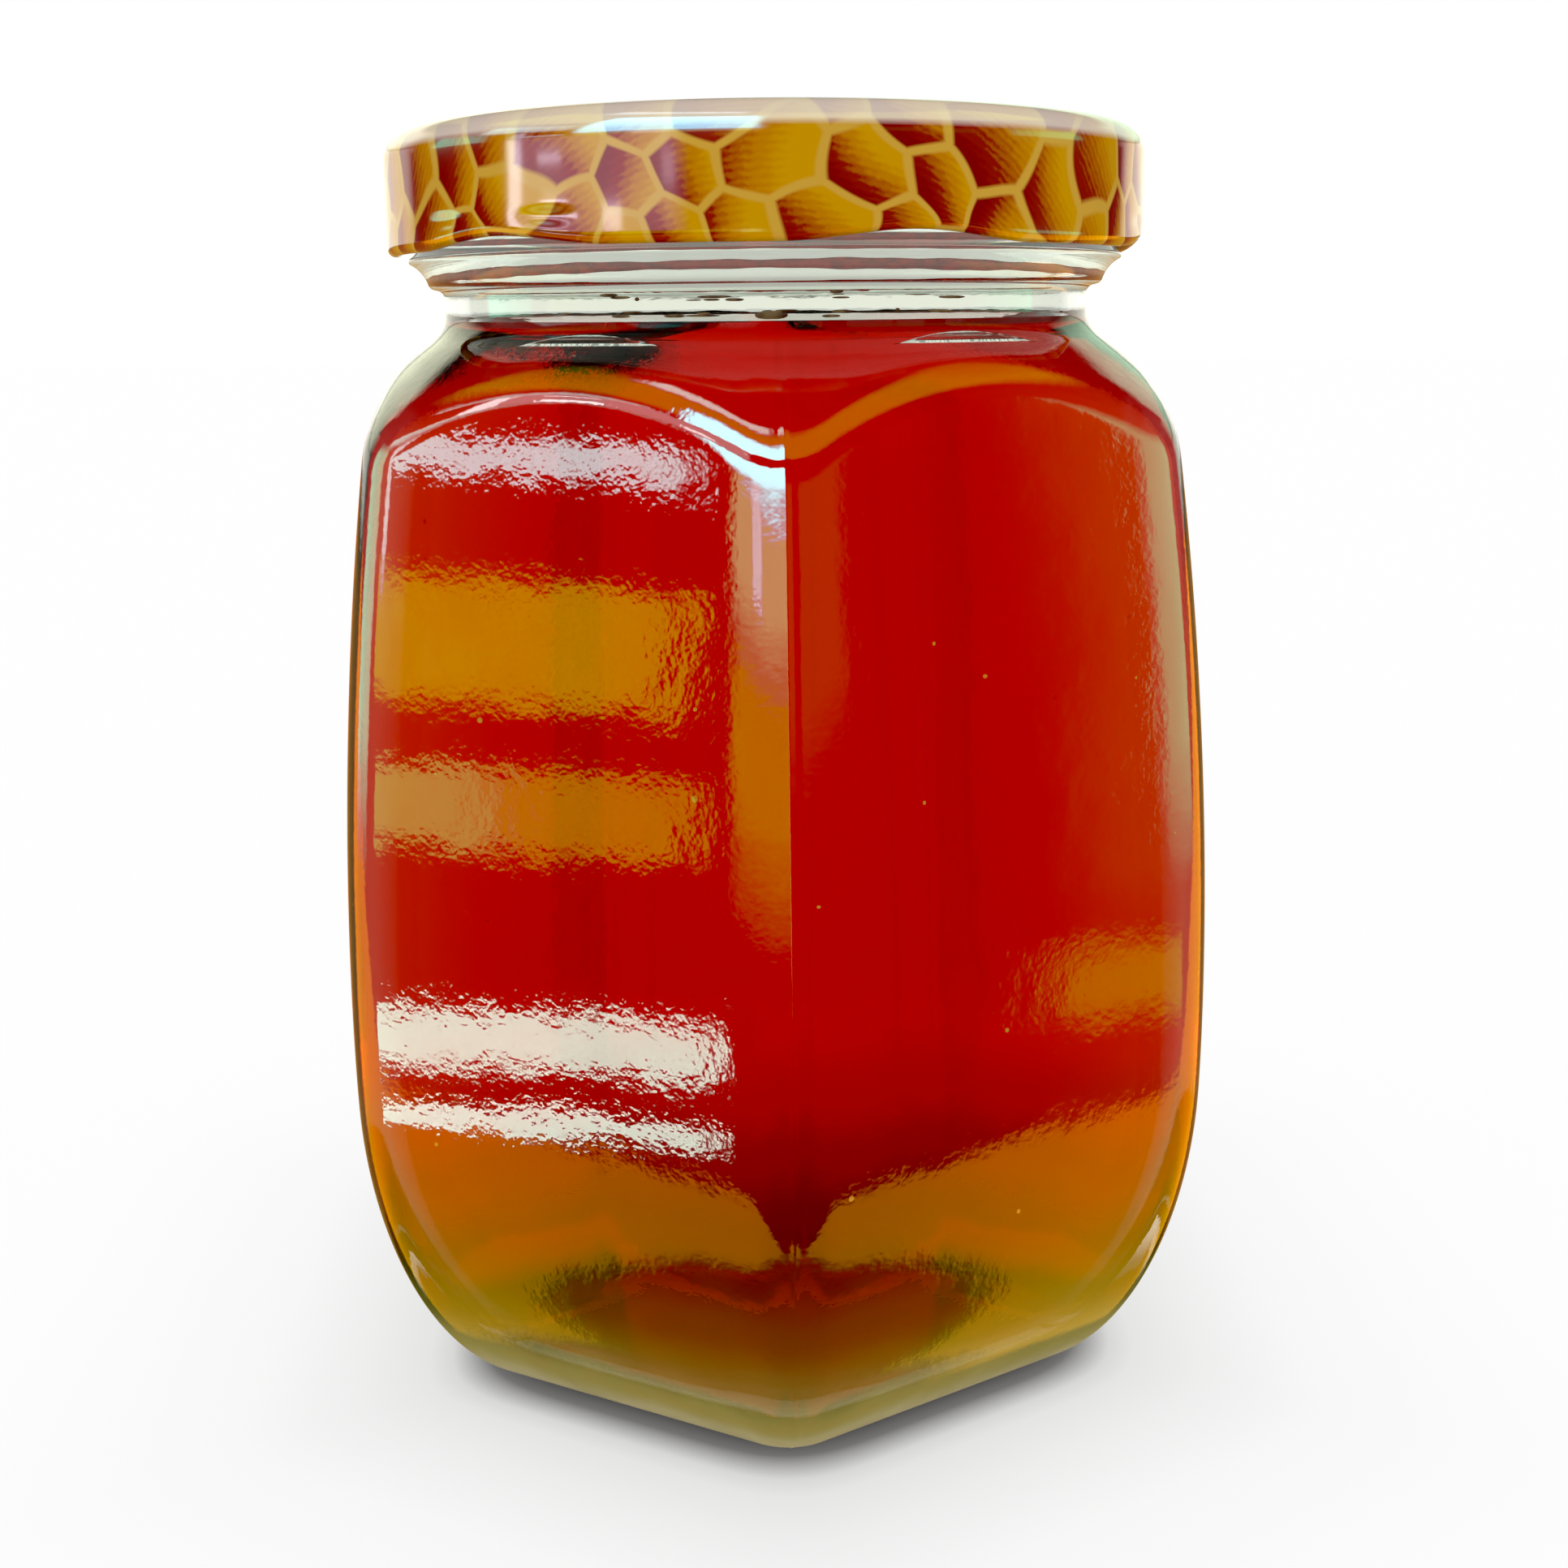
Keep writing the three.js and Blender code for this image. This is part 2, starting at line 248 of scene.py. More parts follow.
def body_columns(form, z):
    """Azimuth and angle from the face's normal of every column, close together round the corners' middles."""
    flat = float(flat_end(form.half_width(z), form.corner_radius(z)))
    face = np.linspace(-flat, flat, FACE_COLUMNS, endpoint=False)
    share = np.linspace(-1, 1, CORNER_COLUMNS, endpoint=False)
    corner = SECTOR / 2 + (SECTOR / 2 - flat) * np.sign(share) * np.abs(share) ** COLUMN_CROWDING
    angle = np.concatenate([face, corner])
    azimuth = np.concatenate([angle + side * SECTOR for side in range(SIDES)])
    folded = np.where(angle > SECTOR / 2, angle - SECTOR, angle)
    return azimuth, np.tile(folded, SIDES)


def ring(azimuth, r, z):
    """A ring of points round the axis."""
    r = np.broadcast_to(r, azimuth.shape)
    z = np.broadcast_to(z, azimuth.shape)
    return np.stack([r * np.cos(azimuth), r * np.sin(azimuth), z], -1)


def body_rings(form, scale, step, slope, top, seam):
    """A form's rings from the middle of its foot or floor, over the heel, wall and arch, to the top."""

    def skin_ring(azimuth, angle, z):
        return ring(azimuth, form.radius(angle, z) + seam_ridge(azimuth, seam), z)

    azimuth, angle = body_columns(form, form.floor)
    rings = []
    edge = form.radius(angle, form.floor)
    for share in np.linspace(FIRST_RING, 1, UNDERSIDE_RINGS):
        z = form.floor + step + (PUSH_UP - step) * (1 - share**2)
        rings.append(ring(azimuth, edge * (scale - slope) * share, z))
    if step:
        rings.append(ring(azimuth, edge * scale, form.floor))
    for degrees in np.linspace(0, 90, HEEL_RINGS):
        z = form.floor + form.heel_height * (1 - math.cos(math.radians(degrees)))
        rings.append(skin_ring(*body_columns(form, z), z))
    heel_top = form.floor + form.heel_height
    for share in np.linspace(0, 1, WALL_RINGS)[1:]:
        azimuth, angle = body_columns(form, heel_top + share * (ARCH_COLUMNS_AT - heel_top))
        z = heel_top + share * (form.arch(angle) - ARCH_BELOW - heel_top)
        rings.append(skin_ring(azimuth, angle, z))
    azimuth, angle = body_columns(form, ARCH_COLUMNS_AT)
    arch = form.arch(angle)
    for offset in np.linspace(-ARCH_BELOW, ARCH_ABOVE, ARCH_RINGS)[1:]:
        rings.append(skin_ring(azimuth, angle, arch + offset))
    for share in np.linspace(0, 1, SHOULDER_RINGS)[1:]:
        rings.append(skin_ring(azimuth, angle, (arch + ARCH_ABOVE) * (1 - share) + top * share))
    return rings


def seam_ridge(azimuth, height):
    """The mould's seam, a fine ridge down the front and the back corner."""
    across = NECK_RADIUS * np.cos(azimuth)
    return height * bump_curve(across, SEAM_WIDTH)


def quadratic(start, control, end, steps):
    """Points of a quadratic curve after its start."""
    t = np.linspace(0, 1, steps + 1)[1:, None]
    start, control, end = map(np.array, (start, control, end))
    return (1 - t) ** 2 * start + 2 * t * (1 - t) * control + t**2 * end


def line(start, end, steps):
    """Points of a straight line after its start."""
    t = np.linspace(0, 1, steps + 1)[1:, None]
    return (1 - t) * np.array(start) + t * np.array(end)


def outline(start, *parts):
    """Points of an outline: parts are lines ((r, z), steps) and curves ((r, z), (r, z), steps)."""
    points = [np.array([start], float)]
    for part in parts:
        last = points[-1][-1]
        if len(part) == 2:
            points.append(line(last, part[0], part[1]))
        else:
            points.append(quadratic(last, part[0], part[1], part[2]))
    return np.concatenate(points)


def neck_outline(shoulder_top):
    """The neck, bead and finish, from the shoulder up to the rim and in over it to the bore."""
    rim = JAR_HIGH.z
    foot_radius = NECK_RADIUS + NECK_FILLET
    return outline(
        (foot_radius, shoulder_top),
        ((NECK_RADIUS + 0.1, NECK_FOOT - 0.3), (NECK_RADIUS, NECK_FOOT + 1.4), 8),
        ((NECK_RADIUS, NECK_TOP - 0.7), 4),
        ((NECK_RADIUS, NECK_TOP), (NECK_RADIUS + 0.8, NECK_TOP + 0.1), 5),
        ((BEAD_FOOT_RADIUS - 0.2, NECK_TOP + 0.2), (BEAD_FOOT_RADIUS, BEAD_FOOT), 6),
        ((BEAD_FOOT_RADIUS + 0.6, BEAD_TOP - 1.0), (BEAD_RADIUS - 0.2, BEAD_TOP - 0.4), 8),
        ((BEAD_RADIUS + 0.1, BEAD_TOP), (BEAD_RADIUS - 0.3, BEAD_TOP + 0.2), 5),
        ((FINISH_RADIUS + 0.2, BEAD_TOP + 0.7), (FINISH_RADIUS, FINISH_FOOT), 5),
        ((FINISH_RADIUS, rim - RIM_ROUNDING), 6),
        ((FINISH_RADIUS, rim), (FINISH_RADIUS - RIM_ROUNDING, rim), 6),
        ((MOUTH_RADIUS + RIM_ROUNDING, rim), 3),
        ((MOUTH_RADIUS, rim), (MOUTH_RADIUS, rim - RIM_ROUNDING), 6),
        ((NECK_BORE_RADIUS, NECK_TOP), 8),
        ((NECK_BORE_RADIUS, HONEY_HIGH.z + MENISCUS_RISE), 6),
    )[1:]


def closed_skin(name, first, rings, last, finishes=None):
    """A closed mesh from a point on the axis, through rings of one size, to another point on the axis.

    The finishes give, for a band of faces counted from the first, the finish that holds from there on.
    """
    count = len(rings[0])
    points = np.concatenate([[(0, 0, first)], *rings, [(0, 0, last)]]) * MM
    here = np.arange(count)
    after = (here + 1) % count
    end = len(points) - 1
    faces = [(0, 1 + b, 1 + a) for a, b in zip(here, after)]
    for row in range(len(rings) - 1):
        low = 1 + row * count
        high = low + count
        faces += list(zip(low + here, low + after, high + after, high + here))
    low = 1 + (len(rings) - 1) * count
    faces += [(end, low + a, low + b) for a, b in zip(here, after)]
    piece = mesh_object(name, points, faces)
    if finishes:
        of_face = np.zeros(len(faces), np.int32)
        for band, finish in finishes.items():
            of_face[band * count :] = finish
        piece.data.polygons.foreach_set("material_index", of_face)
    return piece


def mesh_object(name, points, faces):
    mesh = bpy.data.meshes.new(name)
    mesh.from_pydata([tuple(map(float, p)) for p in points], [], [tuple(map(int, f)) for f in faces])
    mesh.shade_smooth()
    piece = bpy.data.objects.new(name, mesh)
    bpy.context.scene.collection.objects.link(piece)
    return piece


# The order of the glass's finishes and of the lid's
SKIN_GLASS, WETTED_GLASS, STIPPLED_GLASS, NECK_GLASS = range(4)
PRINT, ENAMEL = range(2)


def make_glass():
    """The glass, from the middle of its underside up and over the rim, and down inside to its floor."""
    top = OUTSIDE.shoulder_height(NECK_RADIUS + NECK_FILLET)
    scale = 1 - FOOT_RING_WIDTH / float(OUTSIDE.half_width(0.0))
    outer = body_rings(OUTSIDE, scale, PUSH_UP_STEP, PUSH_UP_SLOPE, top, SEAM_HEIGHT)
    azimuth = body_columns(OUTSIDE, ARCH_COLUMNS_AT)[0]
    neck = [ring(azimuth, r, z) for r, z in neck_outline(top)]
    inside = cavity(0)
    inner_top = inside.shoulder_height(NECK_BORE_RADIUS + BORE_FLARE)
    inner = body_rings(inside, FLOOR_SCALE, 0, 0, inner_top, 0)
    rings = [*outer, *neck, *inner[::-1]]
    finishes = {
        0: STIPPLED_GLASS,
        UNDERSIDE_RINGS: SKIN_GLASS,
        len(outer) - NECK_FOOT_RINGS: NECK_GLASS,
        len(outer) + len(neck): WETTED_GLASS,
    }
    return closed_skin("glass_jar_fine", PUSH_UP, rings, FLOOR + PUSH_UP, finishes)


def make_honey():
    """The honey reaches just into the glass, and climbs the wall a little at its level."""
    form = cavity(INTO_WALL)
    level = HONEY_HIGH.z
    top = form.shoulder_height(NECK_BORE_RADIUS + BORE_FLARE)
    rings = body_rings(form, FLOOR_SCALE, 0, 0, top, 0)
    azimuth = body_columns(form, ARCH_COLUMNS_AT)[0]
    edge = NECK_BORE_RADIUS + INTO_WALL
    rings.append(ring(azimuth, edge, level + MENISCUS_RISE))
    for share in np.linspace(0, 1, 9)[1:]:
        rise = MENISCUS_RISE * (1 - share) ** 2
        rings.append(ring(azimuth, edge - INTO_WALL - MENISCUS_WIDTH * share, level + rise))
    for r in np.linspace(edge - MENISCUS_WIDTH, 1, 8)[1:]:
        rings.append(ring(azimuth, r, level))
    floor = FLOOR - INTO_WALL + PUSH_UP
    return closed_skin("honey_fill", floor, rings, level)


def lid_outline():
    """The lid's section, from its top down the skirt, round the curl and back up inside."""
    rim_inner = LID_RADIUS - LID_ROUNDING - LID_RIM_WIDTH
    inside = LID_RADIUS - LID_WALL
    panel = LID_TOP - LID_RECESS
    turn = LID_RADIUS - LID_ROUNDING
    outer = outline(
        (2.0, panel),
        ((rim_inner - 1.9, panel), 24),
        ((rim_inner - 1.0, panel), (rim_inner - 0.5, panel + LID_RECESS / 2), 6),
        ((rim_inner, LID_TOP), (rim_inner + 0.9, LID_TOP), 6),
        ((turn, LID_TOP), 6),
    )
    arc = [
        (turn + LID_ROUNDING * math.sin(a), LID_TOP - LID_ROUNDING * (1 - math.cos(a)))
        for a in np.linspace(0, math.pi / 2, 13)[1:]
    ]
    skirt = line(arc[-1], (LID_RADIUS, LID_EDGE + CURL_RADIUS), 44)
    curl_centre = LID_RADIUS - CURL_RADIUS
    curl = [
        (curl_centre + CURL_RADIUS * math.cos(a), LID_EDGE + CURL_RADIUS - CURL_RADIUS * math.sin(a))
        for a in np.linspace(0, math.pi, 15)[1:]
    ]
    inner = outline(
        curl[-1],
        ((inside, LID_EDGE + 3 * CURL_RADIUS), 4),
        ((inside, LID_TOP - LID_ROUNDING), 6),
        ((turn, LID_TOP - LID_WALL), 4),
        ((rim_inner + 0.4, LID_TOP - LID_WALL), 3),
        ((rim_inner - 0.8, panel - LID_WALL), 3),
    )[1:]
    return np.concatenate([outer, arc, skirt, curl, inner])


def press_lugs(azimuth, r, z):
    """The lid's lower edge rises over each lug, and is pressed in at either end of it."""
    step = TAU / LUGS
    turn = (azimuth - LUG_AZIMUTH) / step
    offset = (turn - np.round(turn)) * step
    low = bump_curve(max(z - LID_EDGE, 0), LUG_PRESS_HEIGHT - LID_EDGE + LUG_PRESS_REACH)
    rise = LUG_RISE * bump_curve(offset, LUG_SPREAD) * low
    beside = bump_curve(np.abs(offset) - LUG_PRESS_OFFSET, LUG_PRESS_SPREAD)
    press = LUG_PRESS * beside * bump_curve(z - LUG_PRESS_HEIGHT, LUG_PRESS_REACH)
    outer = r > LID_RADIUS - LID_WALL / 2
    return r - press * outer, z + rise


def make_lid():
    """The lid, with a map that lays its print flat: distance along the section, round the axis."""
    points = lid_outline()[::-1]
    steps = np.linalg.norm(np.diff(points[::-1], axis=0), axis=1)
    along = (np.concatenate([[0], np.cumsum(steps)]) + points[-1][0])[::-1]
    azimuth = np.linspace(0, TAU, LID_COLUMNS, endpoint=False)
    rings = [ring(azimuth, *press_lugs(azimuth, r, z)) for r, z in points]
    panel = LID_TOP - LID_RECESS
    lid = closed_skin("lid_fine", panel - LID_WALL, rings, panel, {0: ENAMEL, LID_INSIDE_RINGS: PRINT})
    flat = [np.stack([s * np.cos(azimuth), s * np.sin(azimuth)], -1) for s in along]
    blank = np.concatenate([[(0, 0)], *flat, [(0, 0)]]) / BLANK_SIZE + 0.5
    layer = lid.data.uv_layers.new(name="blank")
    corner = np.empty(len(lid.data.loops), int)
    lid.data.loops.foreach_get("vertex_index", corner)
    layer.data.foreach_set("uv", blank[corner].astype(np.float32).ravel())
    return lid


class Nodes:
    """Builds the nodes of a new material or world, with sockets given as values or other nodes' outputs."""

    def __init__(self, owner, output="OutputMaterial"):
        self.owner = owner
        owner.use_nodes = True
        self.tree = owner.node_tree
        self.tree.nodes.clear()
        self.output = self.add(output)

    def add(self, kind, settings=None, **inputs):
        node = self.tree.nodes.new("ShaderNode" + kind)
        for key, value in (settings or {}).items():
            setattr(node, key, value)
        for key, value in inputs.items():
            self.put(node, key.replace("_", " "), value)
        return node

    def put(self, node, key, value):
        socket = node.inputs[int(key[1:]) if key[0] == "i" and key[1:].isdigit() else key]
        if isinstance(value, bpy.types.NodeSocket):
            self.tree.links.new(value, socket)
        elif isinstance(value, bpy.types.Node):
            self.tree.links.new(value.outputs[0], socket)
        else:
            socket.default_value = value

    def math(self, operation, a, b=0.0, c=0.0, clamp=False):
        node = self.add("Math", {"operation": operation, "use_clamp": clamp}, i0=a, i1=b)
        if operation in ("MULTIPLY_ADD", "SMOOTH_MAX"):
            self.put(node, "i2", c)
        return node.outputs[0]

    def vector(self, operation, a, b=(0, 0, 0)):
        node = self.add("VectorMath", {"operation": operation}, i0=a)
        if operation == "SCALE":
            self.put(node, "Scale", b)
        elif operation not in ("NORMALIZE", "FRACTION", "LENGTH", "ABSOLUTE", "FLOOR"):
            self.put(node, "i1", b)
        scalar = operation in ("LENGTH", "DOT_PRODUCT")
        return node.outputs["Value" if scalar else "Vector"]

    def noise(self, vector, scale, detail=2.0, roughness=0.5):
        node = self.add("TexNoise", Vector=vector, Scale=scale, Detail=detail, Roughness=roughness)
        return node.outputs["Fac"]

    def object_place(self):
        """The place on the piece, in metres, and its height."""
        place = self.add("TexCoord").outputs["Object"]
        return place, self.add("SeparateXYZ", Vector=place).outputs["Z"]

    def ramp(self, value, stops, interpolation="EASE"):
        node = self.add("ValToRGB", Fac=value)
        node.color_ramp.interpolation = interpolation
        elements = node.color_ramp.elements
        while len(elements) < len(stops):
            elements.new(1.0)
        for element, (place, colour) in zip(elements, stops):
            element.position = place
            element.color = (*colour, 1.0)
        return node.outputs["Color"]

    def mix(self, share, a, b, blend="MIX"):
        node = self.add("Mix", {"data_type": "RGBA", "blend_type": blend})
        for key, value in (("Factor", share), ("A", a), ("B", b)):
            named = (s for s in node.inputs if s.name == key and s.enabled)
            socket = next(s for s in named if s.type in ("VALUE", "RGBA"))
            if isinstance(value, bpy.types.NodeSocket):
                self.tree.links.new(value, socket)
            else:
                socket.default_value = (*value, 1.0) if isinstance(value, tuple) else value
        return next(s for s in node.outputs if s.type == "RGBA")

    def bump(self, height, distance, strength=1.0):
        return self.add("Bump", Height=height, Distance=distance, Strength=strength).outputs["Normal"]

    def principled(self, **inputs):
        return self.add("BsdfPrincipled", **inputs)

    def finish(self, surface, volume=None):
        self.put(self.output, "Surface", surface)
        if volume:
            self.put(self.output, "Volume", volume)
        self.owner.cycles.emission_sampling = "NONE"
        return self.owner


def material_nodes(name):
    return Nodes(bpy.data.materials.new(name))


GLASS_IOR = 1.52
HONEY_IOR = 1.48
NO_REFLECTION = (0, 0, 0, 1)
# Relief of each glass, its depth in metres
SKIN_RELIEF = 0.00006
NECK_RELIEF = 0.00002
STIPPLE_RELIEF = 0.0002
HONEY_RELIEF = 0.0001
# Painted glow: the bead emits a little light of its own, from this height up
BEAD_GLOW_FROM = 0.1252
BEAD_GLOW_RISE = 1500.0
BEAD_GLOW = 0.1
# Gloss of the dome, by share of the neck's height: it ends where only the neck's own underside is mirrored
DOME_GLOSS = ((0.955, (1.0, 1.0, 1.0)), (0.973, (0.0, 0.0, 0.0)))
# Painted glow in the thick foot, by height: a diffuse colour stands in for the light seen there; how much of
# it, and its colour, with clouded edges
FOOT_GLOW_TOP = 0.028
FOOT_GLOW_CLOUD = 0.004
FOOT_GLOW_SHARE = (
    (0.0, (0.85, 0.85, 0.85)),
    (0.2, (0.7, 0.7, 0.7)),
    (0.45, (0.42, 0.42, 0.42)),
    (0.7, (0.14, 0.14, 0.14)),
    (1.0, (0.0, 0.0, 0.0)),
)
FOOT_GLOW_COLOUR = (
    (0.0, (0.72, 0.62, 0.36)),
    (0.25, (0.42, 0.35, 0.09)),
    (0.5, (0.23, 0.22, 0.018)),
    (0.8, (0.2, 0.17, 0.0)),
)


def clear_surface(n, base, ior=GLASS_IOR):
    surface = n.principled(Base_Color=(*base, 1), Roughness=0.0, IOR=ior)
    surface.inputs["Transmission Weight"].default_value = 1.0
    return surface


def glass_material():
    """Clear glass, faintly green, with a pressed mould's fine relief, and a painted glow in the thick foot.
    """
    n = material_nodes("flint_glass")
    place, height = n.object_place()
    ripple = n.noise(place, 90.0, 2.0)
    grain = n.noise(place, 420.0, 2.0, 0.6)
    fine = n.noise(place, 1500.0, 1.0, 0.6)
    relief = n.math("MULTIPLY_ADD", grain, 0.22, ripple)
    relief = n.math("MULTIPLY_ADD", fine, 0.12, relief)
    surface = clear_surface(n, (0.94, 0.965, 0.89))
    n.put(surface, "Normal", n.bump(relief, SKIN_RELIEF))
    n.put(surface, "Specular Tint", n.ramp(n.math("DIVIDE", height, NECK_FOOT * MM), DOME_GLOSS))
    # painted glow: a diffuse colour mixed into the glass low on the foot
    cloud = n.math("SUBTRACT", n.noise(place, 110.0, 3.0), 0.5)
    low = n.math("DIVIDE", n.math("MULTIPLY_ADD", cloud, FOOT_GLOW_CLOUD, height), FOOT_GLOW_TOP)
    share = n.ramp(low, FOOT_GLOW_SHARE)
    glow = n.add("BsdfDiffuse", Color=n.ramp(low, FOOT_GLOW_COLOUR))
    return n.finish(n.add("MixShader", i0=share, i1=surface, i2=glow))


def wetted_glass_material():
    """The same glass where honey lies against it: as the two bend light alike, nothing is mirrored there."""
    n = material_nodes("flint_glass_wetted")
    surface = clear_surface(n, (0.95, 0.97, 0.91))
    surface.inputs["Specular Tint"].default_value = NO_REFLECTION
    return n.finish(surface)


def neck_glass_material():
    """The neck's glass, smoother than the body's and seen nearly level through both of its sides."""
    n = material_nodes("flint_glass_neck")
    place, height = n.object_place()
    surface = clear_surface(n, (0.87, 0.89, 0.84))
    surface.inputs["Specular Tint"].default_value = NO_REFLECTION
    stretched = n.vector("MULTIPLY", place, (1, 1, 4))
    n.put(surface, "Normal", n.bump(n.noise(stretched, 120.0, 3.0, 0.6), NECK_RELIEF))
    # painted glow on the bead, standing in for light it catches
    bead = n.math("MULTIPLY", n.math("SUBTRACT", height, BEAD_GLOW_FROM), BEAD_GLOW_RISE, clamp=True)
    surface.inputs["Emission Color"].default_value = (0.85, 1.0, 0.88, 1.0)
    n.put(surface, "Emission Strength", n.math("MULTIPLY", bead, BEAD_GLOW))
    return n.finish(surface)


def stippled_glass_material():
    """The foot's underside, stippled all over."""
    n = material_nodes("stippled_glass")
    place = n.add("TexCoord").outputs["Object"]
    surface = clear_surface(n, (0.9, 0.93, 0.86))
    surface.inputs["Roughness"].default_value = 0.6
    n.put(surface, "Normal", n.bump(n.noise(place, 1200.0, 2.0), STIPPLE_RELIEF))
    return n.finish(surface)


def honey_material():
    """Deep amber that turns orange and then yellow where the light's way through it is short."""
    n = material_nodes("amber_honey")
    place = n.add("TexCoord").outputs["Object"]
    surface = clear_surface(n, (1, 1, 1), HONEY_IOR)
    surface.inputs["Specular Tint"].default_value = NO_REFLECTION
    n.put(surface, "Normal", n.bump(n.noise(place, 45.0, 1.0), HONEY_RELIEF))
    amber = n.add("VolumeAbsorption", Color=(0.988, 0.64, 0.0, 1), Density=165.0)
    return n.finish(surface, amber)


CELL_SIZE = 8.8
# A cell's fill, from its shaded side to its lit one
CELL_COLOURS = (
    (0.0, (0.2, 0.002, 0.0005)),
    (0.3, (0.25, 0.008, 0.0005)),
    (0.45, (0.36, 0.085, 0.001)),
    (0.65, (0.47, 0.18, 0.001)),
    (0.95, (0.54, 0.27, 0.002)),
)
# The walls between cells: half their width as a share of a cell, and how sharp their edges are
WALL_COLOUR = (0.56, 0.32, 0.04)
WALL_SHARE = 0.036
WALL_SHARPNESS = 24.0
# Painted highlight on the rounded rim: where it lies, in distance along the lid's section from the middle,
# mixed pale over the print
RIM_HIGHLIGHT = (36.0, 43.4)
RIM_HIGHLIGHT_SOFTNESS = 0.7
RIM_HIGHLIGHT_SHARE = 0.62
RIM_HIGHLIGHT_COLOUR = (0.86, 0.82, 0.7)


def lid_material():
    """Lacquered print of a honeycomb: irregular cells, dark on one side, with pale walls and fine lines."""
    n = material_nodes("honeycomb_print")
    blank = n.add("UVMap", {"uv_map": "blank"}).outputs[0]
    centred = n.vector("SUBTRACT", blank, (0.5, 0.5, 0))
    outward = n.vector("NORMALIZE", centred)
    cells = n.vector("SCALE", centred, BLANK_SIZE / CELL_SIZE)
    drift = n.add("TexNoise", {"noise_dimensions": "2D"}, Vector=cells, Scale=0.6, Detail=0.0)
    drift = n.vector("SCALE", n.vector("SUBTRACT", drift.outputs["Color"], (0.5, 0.5, 0.5)), 0.9)
    cells = n.vector("MULTIPLY", n.vector("ADD", cells, drift), (1, 1, 0))
    step = (1.0, math.sqrt(3), 1.0)
    half = (0.5, math.sqrt(3) / 2, 0.0)

    def from_centre(vector):
        share = n.vector("FRACTION", n.vector("DIVIDE", vector, step))
        return n.vector("SUBTRACT", n.vector("MULTIPLY", share, step), half)

    first = from_centre(cells)
    second = from_centre(n.vector("ADD", cells, half))
    nearer = n.math("LESS_THAN", n.vector("LENGTH", second), n.vector("LENGTH", first))
    picked = n.vector("SUBTRACT", second, first)
    local = n.vector("ADD", first, n.vector("SCALE", picked, nearer))
    centre = n.vector("SUBTRACT", cells, local)
    chance = n.add("TexWhiteNoise", {"noise_dimensions": "2D"})
    rounded = n.vector("FLOOR", n.vector("ADD", n.vector("SCALE", centre, 8.0), (0.5, 0.5, 0)))
    n.put(chance, "Vector", rounded)
    luck = n.add("SeparateXYZ", Vector=chance.outputs["Color"])
    size = n.vector("ABSOLUTE", local)
    slanted = n.vector("DOT_PRODUCT", size, (0.5, math.sqrt(3) / 2, 0))
    upright = n.vector("DOT_PRODUCT", size, (1, 0, 0))
    to_wall = n.math("SUBTRACT", 0.5, n.math("MAXIMUM", slanted, upright))

    along = n.vector("CROSS_PRODUCT", (0, 0, 1), outward)
    sideways = n.vector("DOT_PRODUCT", local, along)
    downward = n.vector("DOT_PRODUCT", local, outward)
    lean = n.math("MULTIPLY_ADD", luck.outputs["X"], 1.6, -1.1)
    facing = n.math("ADD", sideways, n.math("MULTIPLY", downward, lean))
    lines = n.add("TexWave", {"bands_direction": "Y"}, Vector=centred, Scale=55.0, Distortion=3.0)
    n.put(lines, "Detail Scale", 2.0)
    grain = n.noise(centred, 160.0, 3.0, 0.6)
    shade = n.math("MULTIPLY_ADD", facing, 1.05, n.math("MULTIPLY_ADD", luck.outputs["Y"], 0.5, 0.28))
    shade = n.math("MULTIPLY_ADD", n.math("SUBTRACT", lines.outputs["Fac"], 0.5), 0.10, shade)
    shade = n.math("MULTIPLY_ADD", n.math("SUBTRACT", grain, 0.5), 0.22, shade)
    within = n.math("MULTIPLY", n.math("SUBTRACT", to_wall, WALL_SHARE), WALL_SHARPNESS, clamp=True)
    print_colour = n.mix(n.math("SUBTRACT", 1.0, within), n.ramp(shade, CELL_COLOURS), WALL_COLOUR)
    reach = n.math("MULTIPLY", n.vector("LENGTH", centred), BLANK_SIZE)
    # painted highlight: the print turns pale over the rounded rim
    rim = range_share(n, reach, *RIM_HIGHLIGHT, RIM_HIGHLIGHT_SOFTNESS)
    print_colour = n.mix(n.math("MULTIPLY", rim, RIM_HIGHLIGHT_SHARE), print_colour, RIM_HIGHLIGHT_COLOUR)
    surface = n.principled(Roughness=0.1, Base_Color=print_colour)
    surface.inputs["Specular Tint"].default_value = (1.0, 0.75, 0.9, 1.0)
    place = n.add("TexCoord").outputs["Object"]
    n.put(surface, "Normal", n.bump(n.noise(place, 80.0, 1.0), 0.0003, 0.25))
    return n.finish(surface)


# The enamel's glow stands for light that comes in through the glass, less of it at the lid's edge
ENAMEL_EDGE = 0.1295
ENAMEL_RISE = 800.0
ENAMEL_EDGE_GLOW = 0.15
ENAMEL_GLOW = 0.35


def enamel_material():
    """White enamel on the lid's inside, a little uneven."""
    n = material_nodes("white_enamel")
    place, height = n.object_place()
    mottle = n.noise(place, 300.0, 3.0)
    colour = n.ramp(mottle, [(0.3, (0.80, 0.80, 0.74)), (0.7, (0.88, 0.88, 0.83))])
    inside = n.math("MULTIPLY", n.math("SUBTRACT", height, ENAMEL_EDGE), ENAMEL_RISE, clamp=True)
    surface = n.principled(Base_Color=colour, Roughness=0.35, Emission_Color=colour)
    n.put(surface, "Emission Strength", n.math("MULTIPLY_ADD", inside, ENAMEL_GLOW, ENAMEL_EDGE_GLOW))
    return n.finish(surface)


FILM_RADIUS = (33.4, 33.9)
FILM_HEIGHTS = (127.0, 128.6)
FILM_STEPS = 300
# Where the film's colour gives way to the drops', in metres
FILM_ABOVE = 0.1255
SMEARS = 26
SMEAR_AZIMUTHS = (-128, -52)
